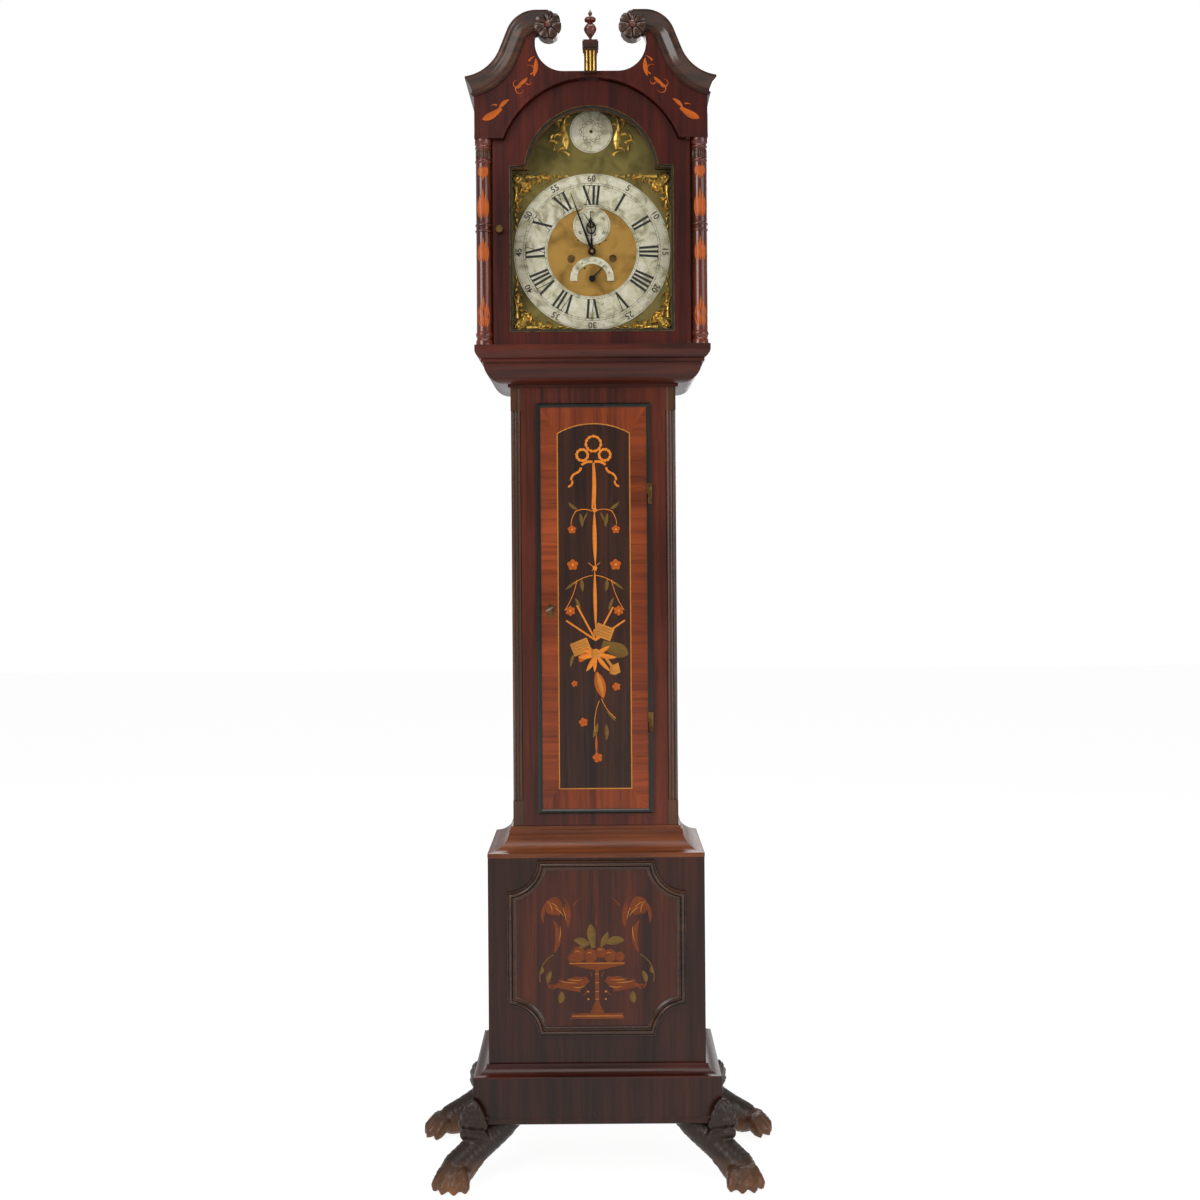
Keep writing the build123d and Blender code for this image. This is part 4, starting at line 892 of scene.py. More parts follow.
@dataclass
class Workshop:
    """What every sub-assembly needs: the finishes, the frame's boxes and the repeater."""

    palette: Palette
    repeater: RingRepeat

    def box(self, node: str) -> tuple[Vector, Vector]:
        """A node's lowest and highest corners in millimetres."""
        low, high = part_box(node)
        return Vector(low) / MM, Vector(high) / MM

    def seat(self, piece: bpy.types.Object, body: str, slot: str, *nodes: str) -> bpy.types.Object:
        """Fix a piece to its body.

        Args:
            piece: the piece.
            body: the body that it rides on.
            slot: the record's material slot; not used.
            nodes: frame nodes that it stands for.

        Returns:
            The piece.
        """
        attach(piece, body)
        if nodes:
            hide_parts(*nodes)
        LOG.info("%s rides on %s", piece.name, body)
        return piece


# Sub-assemblies


@dataclass
class FrameFinishes:
    """The finishes of the frame's own pieces."""

    shop: Workshop
    by_finish: dict[str, str] = field(
        default_factory=lambda: {
            "case_mahogany": "trunk_sides trunk_front_frame hood_sides",
            "hood_mahogany": "hood_door_frame hood_frieze",
            "rail_mahogany": "throat_moulding hood_base plinth_moulding",
            "cove_mahogany": "waist_moulding",
            "reeded_mahogany": "quarter_columns",
            "dark_mahogany": "base_boards plinth",
            "moulding_mahogany": "base_panel_moulding",
            "ebonised": "trunk_door_bead",
            "crossbanding": "trunk_door",
            "oak": "backboard carcass_blocks hood_mask hood_roof seatboard",
            "silvered": "dial_rings",
            "old_brass": "hood_door_fittings trunk_hinge_leaves trunk_door_hinges escutcheon",
            "polished_brass": "movement_frame going_barrel strike_barrel going_great_wheel strike_great_wheel"
            " centre_arbor third_arbor escape_arbor minute_wheel hour_wheel pin_wheel",
            "blued_steel": "minute_hand seconds_hand date_hand",
            "bright_steel": "lock_bolt trunk_key anchor hammer pendulum",
            "window_glass": "hood_door_glass",
            "arch_brass": "dial_plate",
        }
    )

    def dress(self, nodes: dict[str, bpy.types.Object]) -> None:
        """Give each carried-over piece its finish.

        Args:
            nodes: the frame's objects by name.
        """
        for finish, names in self.by_finish.items():
            for name in names.split():
                nodes[name].data.materials.clear()
                nodes[name].data.materials.append(self.shop.palette.get(finish))


@dataclass
class TrunkDoor:
    """The trunk door's crossbanding, dark field, stringing and marquetry."""

    shop: Workshop
    field_half: float = 66.5
    field_low: float = 699.0
    field_spring: float = 1361.0
    field_crown: float = 1378.5
    string_width: float = 2.0
    veneer: float = 0.35

    def build(self) -> None:
        """Build every piece of the door's face."""
        low, high = self.shop.box("trunk_door")
        face = low.y
        get = self.shop.palette.get
        self.rails(face, low, high)
        field_plate = Ornament(face - 0.05, self.veneer)
        field_plate.slab(self.outline(0.0))
        field_plate.done("door_field", get("rosewood_field"), "trunk_door")
        border = Ornament(face - 0.05, self.veneer + 0.12)
        outer, inner = self.outline(self.string_width), self.outline(0.0)
        for index in range(len(outer)):
            after = (index + 1) % len(outer)
            border.slab([outer[index], outer[after], inner[after], inner[index]])
        border.done("door_stringing", get("boxwood"), "trunk_door")
        self.marquetry(face - 0.05 - self.veneer)

    def outline(self, grow: float) -> list[Point]:
        """The field's outline with its low arch, grown outwards.

        Args:
            grow: how far outside the field, in millimetres.

        Returns:
            The corners, anticlockwise from the lower left.
        """
        half = self.field_half + grow
        rise = self.field_crown - self.field_spring
        radius = (self.field_half**2 + rise**2) / (2 * rise) + grow
        centre = self.field_crown - radius + grow
        reach = math.degrees(math.asin(half / radius))
        arch = ring_points(radius, 90 - reach, 90 + reach, 14, (0.0, centre))
        return [(-half, self.field_low - grow), (half, self.field_low - grow), *arch]

    def rails(self, face: float, low: Vector, high: Vector) -> None:
        """The upright-grained banding across the door's top and bottom."""
        rails = Ornament(face, 0.05)
        inset = 1.0
        half = self.field_half + self.string_width
        for near, far, mitre in ((high.z - inset, self.field_spring, 1), (low.z + inset, self.field_low, -1)):
            rails.slab([(-high.x + inset, near), (high.x - inset, near), (half, far), (-half, far)][:: mitre])
        rails.done(
            "door_rails", self.shop.palette.get("crossbanding_rails"), "trunk_door"
        )

    def marquetry(self, face: float) -> None:
        """The ribbon, sprays of flowers and trophy of music, in four veneers."""
        light = Ornament(face, 0.12)
        green = Ornament(face, 0.10)
        red = Ornament(face, 0.14)
        music = Ornament(face, 0.18)
        self.ribbon(light)
        self.sprays(light, green, red)
        self.trophy(light, green, red, music)
        get = self.shop.palette.get
        light.done("door_ribbon", get("satinwood"), "trunk_door")
        green.done("door_leaves", get("green_leaf"), "trunk_door")
        red.done("door_flowers", get("padouk"), "trunk_door")
        music.done("door_trophy", get("boxwood"), "trunk_door")

    def ribbon(self, light: Ornament) -> None:
        """The bow of three loops, its two tails and the hanging band."""
        knot = 1308.0
        for side in (1, -1):
            for x, z, radius, start in ((0.0, knot + 34.0, 14.0, -90), (side * 21.0, knot + 13.0, 10.5, 190)):
                count = 22
                for bead in range(count):
                    angle = math.radians(start + 360 * bead / count)
                    light.button(
                        x + radius * math.cos(angle), z + radius * math.sin(angle), 2.1 + 0.8 * (bead % 2),
                        sides=8
                    )
            tail = Stroke(2.0, knot, 12, 22, -60, 4.6, Taper.RIBBON)
            curl = Stroke(23.5, knot - 10.0, -82, 15, 74, 4.2, Taper.RIBBON)
            drop = Stroke(33.0, knot - 21.0, -20, 17, -78, 4.0, Taper.RIBBON)
            end = Stroke(39.8, knot - 35.0, -98, 15, 96, 3.8, Taper.RIBBON)
            for stroke in (tail, curl, drop, end):
                light.stroke(stroke if side > 0 else stroke.mirrored())
            for shift in (-1.8, 1.8):
                light.stroke(Stroke(side * 0.4 + shift * 0.4, knot - 2, -90, 86, side * 3, 2.0, Taper.RIBBON))
        for top, run, width in ((knot, 88.0, 7.0), (knot - 92.0, 104.0, 7.5), (knot - 202.0, 112.0, 6.5)):
            light.stroke(Stroke(1.0, top, -90, run, 1.5, width, Taper.LEAF))
            light.button(1.5, top - run - 2.0, 4.2)

    def sprays(self, light: Ornament, green: Ornament, red: Ornament) -> None:
        """The three pairs of flower sprays that spring from the ribbon."""
        first, second = 1216.0, 1102.0
        stems = [
            Stroke(3.0, first, 25, 34, -58, 1.4, Taper.RIBBON),
            Stroke(34.0, first - 1.0, -52, 26, -40, 1.2, Taper.RIBBON),
            Stroke(3.0, second - 6, -8, 40, -34, 1.4, Taper.RIBBON),
            Stroke(32.0, second - 14, -78, 62, 22, 1.2, Taper.RIBBON),
            Stroke(4.0, second + 2, 120, 22, 30, 1.2, Taper.RIBBON),
        ]
        light.strokes(stems, both=True)
        leaves = [
            Stroke(30.0, first + 4, 18, 22, 44, 6.0),
            Stroke(26.0, first - 4, -108, 26, 18, 7.0),
            Stroke(12.0, first - 2, -60, 18, -16, 3.6),
            Stroke(24.0, second - 12, -92, 24, -10, 7.5),
            Stroke(34.0, second - 16, -42, 26, 8, 5.0),
            Stroke(36.0, second - 48, -122, 26, 26, 6.0),
        ]
        green.strokes(leaves, both=True)
        for x, z, radius, petals in (
            (41.0, first - 34, 8.0, 5), (40.0, second + 14, 10.5, 5), (45.0, second - 72, 9.5, 6)
        ):
            for side in (1, -1):
                red.flower(side * x, z, radius, petals, 90)
                light.button(side * x, z, 0.24 * radius, rise=0.3)

    def trophy(self, light: Ornament, green: Ornament, red: Ornament, music: Ornament) -> None:
        """The crossed pipes, song books, tambourine, horn, bottle and the trailing flowers."""
        middle = 975.0
        for heading, reach in ((118, 74), (62, 70), (146, 66), (34, 66)):
            light.stroke(Stroke(2.0, middle, heading, reach, 0, 3.4, Taper.RIBBON))
        for x, z, lean in ((17.0, 990.0, -20.0), (-26.0, 962.0, 22.0)):
            turned = [Vector(corner) for corner in ((-17, -12), (17, -12), (17, 13), (-17, 13))]
            rotate = Matrix.Rotation(math.radians(lean), 2)
            music.slab([tuple(rotate @ corner + Vector((x, z))) for corner in turned])
            for row in range(4):
                start = rotate @ Vector((-13, -7 + 5 * row)) + Vector((x, z))
                green.stroke(Stroke(start.x, start.y, lean, 26, 0, 0.8, Taper.RIBBON), 0.32)
        green.stroke(Stroke(14.0, 968.0, -22, 52, 0, 27, Taper.BUD), 0.16)
        light.stroke(Stroke(0.0, 955.0, -88, 40, -6, 8.0, Taper.LEAF))
        music.stroke(Stroke(14.0, 952.0, -58, 34, 6, 5.0, Taper.RIBBON))
        music.slab([(28, 926), (44, 933), (48, 915), (38, 910), (28, 912)])
        red.stroke(Stroke(-4.0, 958.0, -150, 34, 28, 14, Taper.BUD))
        red.stroke(Stroke(3.0, 916.0, -74, 52, -4, 20, Taper.LEAF))
        music.stroke(Stroke(4.0, 914.0, -74, 46, -4, 8, Taper.LEAF), 0.3)
        for heading, run, width in (
            (-20, 40, 9), (200, 34, 10), (-60, 44, 8), (250, 38, 9), (20, 30, 8), (165, 30, 8)
        ):
            light.stroke(
                Stroke(2.0, 950.0, heading, run, 20 if heading < 90 else -20, width, Taper.LEAF), 0.24
            )
        music.button(2.0, 950.0, 9.0, rise=0.3)
        light.stroke(Stroke(12.0, 866.0, -70, 46, 34, 1.2, Taper.RIBBON))
        light.stroke(Stroke(8.0, 862.0, -112, 60, 30, 1.2, Taper.RIBBON))
        for leaf in (
            Stroke(22.0, 842.0, -40, 24, -20, 6.0),
            Stroke(20.0, 818.0, -80, 30, -20, 7.5),
            Stroke(4.0, 820.0, -100, 28, -16, 8.0),
            Stroke(-38.0, 950.0, -120, 26, 30, 6.0),
            Stroke(-20.0, 946.0, 150, 24, -30, 3.0),
        ):
            green.stroke(leaf)
        for x, z, radius in ((-38.0, 894.0, 6.0), (40.0, 888.0, 8.0), (-22.0, 822.0, 8.5), (4.0, 756.0, 9.5)):
            red.flower(x, z, radius, 5, 30)
        red.stroke(Stroke(2.0, 800.0, -92, 40, 6, 4.0, Taper.LEAF))


@dataclass
class BasePanel:
    """The base's sunk panel: a darker ground and a fruit stand between scrolled horns and fish."""

    shop: Workshop
    moulding: float = 17.6
    scoop: float = 57.0

    def build(self) -> None:
        """Build the panel's ground and its marquetry."""
        low, high = self.shop.box("base_panel_moulding")
        face = high.y
        centre = ((low.x + high.x) / 2, (low.z + high.z) / 2)
        half_width = (high.x - low.x) / 2 - self.moulding
        half_height = (high.z - low.z) / 2 - self.moulding
        corner = self.scoop + self.moulding
        get = self.shop.palette.get
        ground = Ornament(face, 0.4, centre=centre)
        points: list[Point] = []
        for x, z, start in ((1, 1, 270), (-1, 1, 360), (-1, -1, 90), (1, -1, 180)):
            spot = (x * (half_width + self.moulding), z * (half_height + self.moulding))
            arc = ring_points(corner, start, start - 90, 10, spot)
            points += arc
        inside = [
            (max(-half_width, min(half_width, x)), max(-half_height, min(half_height, z))) for x, z in points
        ]
        ground.slab(inside)
        self.ridges(low, high)
        ground.done("base_ground", get("base_panel_wood"), "case")
        self.marquetry(face - 0.4, (centre[0], centre[1] - 8.0))

    def scooped(self, low: Vector, high: Vector, inset: float) -> list[Point]:
        """The panel's outline with its four scooped corners, moved inwards.

        Args:
            low: the moulding's lowest corner.
            high: the moulding's highest corner.
            inset: how far inwards.

        Returns:
            The corners, in millimetres.
        """
        points: list[Point] = []
        radius = self.scoop + inset
        for x, z, start in (
            (high.x, high.z, 270), (low.x, high.z, 360), (low.x, low.z, 90), (high.x, low.z, 180)
        ):
            reach = math.degrees(math.asin(min(1.0, inset / radius)))
            points += ring_points(radius, start - reach, start - 90 + reach, 14, (x, z))
        return points

    def ridges(self, low: Vector, high: Vector) -> None:
        """The moulding's ridged section, carried round the scooped outline."""
        depth = high.y - low.y
        section = [(0.0, 0.0), (0.0, 0.45), (0.8, 0.62), (2.2, 0.66), (3.0, 0.5), (3.6, 0.5)]
        section += smoothed([(3.6, 0.5), (4.6, 0.86), (6.6, 1.0), (8.6, 0.9), (9.8, 0.62)], 3)
        section += [(10.6, 0.5), (11.4, 0.62), (12.6, 0.62), (13.2, 0.44)]
        section += smoothed(
            [(13.2, 0.44), (15.0, 0.36), (16.6, 0.2), (self.moulding, 0.14)], 3
        ) + [(self.moulding, 0.0)]
        shape = bmesh.new()
        rings = []
        for inset, share in section:
            outline = self.scooped(low, high, inset)
            rings.append([shape.verts.new(Vector((x, high.y - depth * share, z)) * MM) for x, z in outline])
        bridge(shape, [*rings, rings[0]], capped=False)
        piece = finished("panel_ridges", shape, self.shop.palette.get("moulding_mahogany"), 28)
        self.shop.seat(piece, "case", "dark_mahogany", "base_panel_moulding")

    def marquetry(self, face: float, centre: Point) -> None:
        """The fruit stand, horns of flowers and scrolled fish, in three veneers."""
        warm = Ornament(face, 0.14, centre=centre)
        dull = Ornament(face, 0.12, centre=centre)
        leaf = Ornament(face, 0.10, centre=centre)
        warm.slab([(-50, -122), (50, -122), (47, -112), (-47, -112)])
        warm.slab([(-13, -112), (13, -112), (4, -92), (-4, -92)])
        warm.slab([(-4, -92), (4, -92), (3.4, -32), (-3.4, -32)])
        warm.slab([(-9, -32), (9, -32), (52, -22), (52, -18), (-52, -18), (-52, -22)])
        for x, z, radius in ((-34, -4, 14), (-12, -6, 13), (24, -6, 12), (42, -8, 9), (-46, -10, 8)):
            dull.button(x, z, radius)
        warm.button(7, 0, 10, rise=0.2)
        light = Ornament(face, 0.22, centre=centre)
        for x, z, radius in ((-34, -1, 7), (-12, -3, 6), (24, -3, 6), (7, 3, 5)):
            light.stroke(Stroke(x - radius, z, 60, radius * 1.9, -120, 1.2, Taper.LEAF))
        for side in (1, -1):
            for x, z, heading, run, bend in (
                (82, 72, 100, 26, -70), (70, 78, 70, 22, -60), (60, 66, 60, 26, -40), (26, -50, -10, 30, 30),
                (36, -56, 0, 34, 14), (22, -62, -20, 24, 40), (70, 20, 110, 30, -30), (56, 60, 80, 24, -10),
            ):
                stroke = Stroke(x, z, heading, run, bend, 1.3, Taper.LEAF)
                light.stroke(stroke if side > 0 else stroke.mirrored())
            for z in (-86, -100):
                light.button(side * 16, z + 14, 1.8, sides=8)
        for z in (-40, -56, -72, -86):
            light.stroke(Stroke(-3.5, z, 0, 7, 0, 1.0, Taper.RIBBON))
        light.stroke(Stroke(-46, -117, 0, 92, 0, 1.2, Taper.RIBBON))
        light.stroke(Stroke(-50, -20, 0, 100, 0, 1.2, Taper.RIBBON))
        light.done("base_light_lines", self.shop.palette.get("boxwood"), "case")
        for stroke in (
            Stroke(-6, 8, 100, 44, -8, 16, Taper.BUD),
            Stroke(-14, 14, 150, 30, 26, 14, Taper.LEAF),
            Stroke(18, 16, 28, 34, -40, 16, Taper.LEAF),
            Stroke(8, 10, 60, 30, 10, 12, Taper.LEAF),
            Stroke(-34, 8, 20, 24, 20, 8, Taper.LEAF),
        ):
            leaf.stroke(stroke)
        warm.stroke(Stroke(0, 50, 92, 24, 0, 2, Taper.TAIL))
        horn = [
            Stroke(78, 0, 118, 62, -62, 11, Taper.LEAF),
            Stroke(52, 46, 92, 44, -20, 10, Taper.LEAF),
            Stroke(42, 86, 120, 22, 40, 3, Taper.TAIL),
            Stroke(50, 62, 100, 46, -60, 5, Taper.TAIL),
        ]
        warm.strokes(horn, both=True)
        blossom = [
            Stroke(64, 74, 40, 34, -10, 34, Taper.BUD),
            Stroke(98, 54, 80, 44, 50, 7, Taper.LEAF),
        ]
        dull.strokes(blossom, both=True)
        fish = [
            Stroke(17, -48, -36, 40, 62, 24, Taper.BUD),
            Stroke(30, -66, 4, 62, 6, 14, Taper.TAIL),
            Stroke(46, -60, 20, 40, -70, 9, Taper.LEAF),
            Stroke(84, -64, 0, 20, 200, 3.4, Taper.TAIL),
            Stroke(10, -44, 110, 12, -120, 2.6, Taper.TAIL),
            Stroke(60, -54, 60, 16, -140, 3.0, Taper.TAIL),
            Stroke(18, -70, -70, 14, 60, 3.0, Taper.TAIL),
        ]
        warm.strokes(fish, both=True)
        vine = [
            Stroke(80, -4, -30, 60, -74, 1.6, Taper.RIBBON),
            Stroke(100, -26, -90, 14, 30, 7, Taper.LEAF),
            Stroke(84, -34, -60, 24, -30, 9, Taper.LEAF),
            Stroke(66, -72, -100, 22, 40, 12, Taper.LEAF),
        ]
        leaf.strokes(vine, both=True)
        get = self.shop.palette.get
        warm.done("base_warm_inlay", get("dull_padouk"), "case")
        dull.done("base_dull_inlay", get("dull_padouk"), "case")
        leaf.done("base_leaf_inlay", get("green_leaf"), "case")


@dataclass
class Pediment:
    """The swan necks, rosettes, finial and inlaid scrolls of the hood's front."""

    shop: Workshop
    low_radius: float = 80.0
    high_radius: float = 57.0
    run: float = 38.0
    low_angle: float = 8.0
    steep_angle: float = 68.0
    band: float = 34.0
    reach: float = 15.4
    rosette_x: float = 77.0
    petals: int = 7

    def build(self) -> None:
        """Build all of the pediment."""
        self.mouldings()
        self.rosettes()
        self.finial()
        self.inlay()

    def neck_line(self, start: Point) -> list[tuple[Vector, Vector]]:
        """The right-hand neck's upper edge, from the cornice's corner to the rosette.

        Args:
            start: the corner, in millimetres.

        Returns:
            Points and the outward direction at each.
        """
        spot = Vector(start)
        line: list[tuple[Vector, Vector]] = []
        angle = self.low_angle

        def step(length: float, turn_to: float, count: int) -> None:
            """Carry the line on along one arc or straight run.

            Args:
                length: how far it goes, in millimetres.
                turn_to: the angle it ends at, in degrees.
                count: how many stretches it has.
            """
            nonlocal spot, angle
            begin = angle
            for index in range(count):
                middle = math.radians(begin + (turn_to - begin) * (index + 0.5) / count)
                now = math.radians(begin + (turn_to - begin) * index / count)
                line.append((spot.copy(), Vector((math.sin(now), math.cos(now)))))
                spot = spot + Vector((-math.cos(middle), math.sin(middle))) * length / count
            angle = turn_to

        step(math.radians(self.steep_angle - self.low_angle) * self.low_radius, self.steep_angle, 18)
        step(self.run, self.steep_angle, 2)
        step(math.radians(self.steep_angle) * self.high_radius, 0.0, 20)
        step(max(1.0, spot.x - self.rosette_x), 0.0, 2)
        line.append((spot.copy(), Vector((0.0, 1.0))))
        return line

    def profile(self) -> list[Point]:
        """The moulding's section: distance down from the edge, and out from the board."""
        ogee = smoothed(
            [
                (4, self.reach), (7, self.reach - 2.2), (11, self.reach - 6.2), (16, self.reach - 8.4),
                (22, self.reach - 11), (25, self.reach - 11.8)
            ],
            4
        )
        return [
            (0, 0), (0, self.reach), *ogee, (28, self.reach - 11.8), (28.5, self.reach - 9.8),
            (31.5, self.reach - 9.8), (32, self.reach - 11.8), (self.band, self.reach - 11.8), (self.band, 0)
        ]

    def mouldings(self) -> None:
        """The two swan necks, and the cornices that return along the sides."""
        high = self.shop.box("pediment_mouldings")[1]
        board = self.shop.box("hood_frieze")[1].y - self.shop.box("hood_frieze")[0].y
        front = self.shop.box("hood_sides")[0].y - board + 3.0
        half_hood = self.shop.box("hood_sides")[1].x
        line = self.neck_line((half_hood + self.reach, self.shop.box("hood_roof")[1].z))
        shape = bmesh.new()
        section = self.profile()
        for side in (1, -1):
            rings = []
            for spot, out in line:
                ring = []
                for down, proud in section:
                    x, z = spot.x - out.x * down, spot.y - out.y * down
                    if x > half_hood + proud:
                        slide = x - half_hood - proud
                        x -= slide
                        z += slide * math.tan(math.radians(self.low_angle))
                    ring.append(shape.verts.new((side * x * MM, (front - proud) * MM, z * MM)))
                rings.append(ring)
            bridge(shape, rings)
            back = []
            for y_share in (0.0, 1.0):
                ring = []
                for (down, proud), corner in zip(section, rings[0]):
                    y = corner.co.y / MM if y_share == 0.0 else high.y
                    ring.append(shape.verts.new((side * (half_hood + proud) * MM, y * MM, corner.co.z)))
                back.append(ring)
            bridge(shape, back)
        piece = finished("swan_necks", shape, self.shop.palette.get("moulding_mahogany"), 32)
        self.shop.seat(piece, "hood", "mahogany", "pediment_mouldings")

    def rosettes(self) -> None:
        """Two carved flowers with domed, veined petals, repeated round their buttons."""
        low, high = self.shop.box("rosettes")
        radius = (high.z - low.z) / 2
        for side, name in ((1, "rosette_right"), (-1, "rosette_left")):
            petal = bmesh.new()
            rows = []
            for ring_share in (0.16, 0.35, 0.6, 0.82, 0.96, 1.0):
                row = []
                for column in range(9):
                    spread = (column - 4) / 4
                    angle = math.radians(spread * 180 / self.petals * 0.995)
                    lobe = 1 - 0.1 * abs(spread) ** 3 * (ring_share > 0.7)
                    lift = (8.5 + 4.0 * math.sin(math.pi * ring_share * 0.85)) * (1 - 0.2 * abs(spread) ** 6)
                    lift += 0.8 * math.exp(-((spread / 0.1) ** 2)) * (1 - ring_share * 0.4)
                    lift = 6.5 if ring_share == 1.0 else lift
                    spot = Vector((math.cos(angle), math.sin(angle), 0)) * radius * ring_share * lobe
                    row.append(petal.verts.new(Vector((spot.x, spot.y, lift)) * MM))
                rows.append(row)
            for near, far in zip(rows, rows[1:]):
                for column in range(8):
                    petal.faces.new((near[column], far[column], far[column + 1], near[column + 1]))
            base = bmesh.ops.extrude_face_region(petal, geom=list(petal.faces))
            for item in base["geom"]:
                if isinstance(item, bmesh.types.BMVert):
                    item.co.z = 0.0
            unit = finished("petal", petal, self.shop.palette.get("turned_mahogany"), 40)
            centre = (side * self.rosette_x * MM, high.y * MM, (low.z + high.z) / 2 * MM)
            piece = self.shop.repeater.repeat(
                name, unit, self.petals, centre, self.shop.palette.get("moulding_mahogany"), start=90
            )
            body = bmesh.new()
            body.from_mesh(piece.data)
            place = Matrix.Translation(centre) @ Matrix.Rotation(math.pi / 2, 4, "X")
            button = smoothed([(7.5, 7.0), (7.2, 12.0), (5.6, 14.6), (3.2, 16.4), (0.6, 17.6)], 3)
            turn(body, button, place, 24)
            body.to_mesh(piece.data)
            body.free()
            self.shop.seat(piece, "hood", "dark_mahogany", *(("rosettes",) if side > 0 else ()))

    def finial(self) -> None:
        """The turned finial on its fluted plinth."""
        low, high = self.shop.box("finial")
        height = 60.0
        base = high.z - height
        shape = bmesh.new()
        profile = smoothed(
            [
                (6, 0), (6.4, 2), (3.0, 5), (2.9, 8), (8.6, 16), (11.7, 22), (11.2, 27), (7, 33), (4.8, 35.5),
                (9.6, 37.6), (10.8, 40.5), (9.6, 44), (4, 46.4), (2.4, 48.6), (4.2, 52.6), (2.6, 55.2),
                (1.5, 57.4), (0.4, height)
            ],
            4,
        )
        turn(shape, profile, Matrix.Translation(Vector((0, self.front_of_hood(), base)) * MM), 40)
        piece = finished("finial_turning", shape, self.shop.palette.get("turned_mahogany"), 45)
        self.shop.seat(piece, "hood", "dark_mahogany", "finial")
        front = low.y + 3.2
        back = self.front_of_hood() + 14.0
        arch_top = low.z
        block = bmesh.new()
        half = 11.5
        flutes = 3
        outline: list[Point] = [(-half, back), (half, back), (half, front)]
        for flute in reversed(range(flutes)):
            x = (flute - (flutes - 1) / 2) * 6.6
            outline += [(x + 2.3, front), (x + 1.4, front + 1.8), (x - 1.4, front + 1.8), (x - 2.3, front)]
        outline.append((-half, front))
        rings = [
            [block.verts.new(Vector((x, y, z)) * MM) for x, y in outline] for z in (arch_top, base - 17.0)
        ]
        bridge(block, rings)
        for low_step, high_step, spread in (
            (-19.0, -14.0, 0.8), (-14.0, -8.5, 2.6), (-8.5, -3.2, 3.2), (-3.2, 0.0, 1.6)
        ):
            corners = [
                (-half - spread, front - spread), (half + spread, front - spread),
                (half + spread, back + spread), (-half - spread, back + spread)
            ]
            bridge(
                block,
                [
                    [block.verts.new(Vector((x, y, base + z)) * MM) for x, y in corners]
                    for z in (low_step, high_step)
                ]
            )
        gilding = Ornament(front + 1.7, 1.2, domed=True)
        for flute in range(flutes):
            x = (flute - (flutes - 1) / 2) * 6.6
            gilding.stroke(Stroke(x, arch_top + 2.0, 90, base - 21.0 - arch_top, 0, 3.4, Taper.RIBBON))
        gilding.done("plinth_flutes", self.shop.palette.get("gilt"), "hood")
        plinth = finished("finial_plinth", block, self.shop.palette.get("moulding_mahogany"), 30)
        self.shop.seat(plinth, "hood", "dark_mahogany")

    def front_of_hood(self) -> float:
        """The depth of the hood's front face, in millimetres."""
        return self.shop.box("hood_frieze")[0].y + 3.0

    def inlay(self) -> None:
        """The leafy scrolls and blades let into the frieze."""
        scroll = Ornament(self.front_of_hood(), 0.15)
        strokes = [
            Stroke(104, 2010, 108, 34, -24, 8.5, Taper.LEAF),
            Stroke(113, 2038, 126, 16, 36, 4.0, Taper.TAIL),
            Stroke(110, 2014, 160, 30, -200, 3.0, Taper.TAIL),
            Stroke(116, 2008, -52, 22, 26, 6.5, Taper.LEAF),
            Stroke(128, 1994, -60, 30, 250, 3.2, Taper.TAIL),
            Stroke(130, 1994, -10, 34, -260, 3.0, Taper.TAIL),
            Stroke(118, 1998, -120, 16, -200, 2.4, Taper.TAIL),
            Stroke(150, 1968, -28, 26, -34, 7.0, Taper.LEAF),
            Stroke(164, 1952, -42, 40, 26, 13.0, Taper.BUD),
            Stroke(156, 1966, -80, 12, 40, 3.0, Taper.TAIL),
            Stroke(172, 1958, 20, 12, -60, 3.0, Taper.TAIL),
        ]
        scroll.strokes(strokes, both=True)
        scroll.done("frieze_scrolls", self.shop.palette.get("padouk"), "hood")


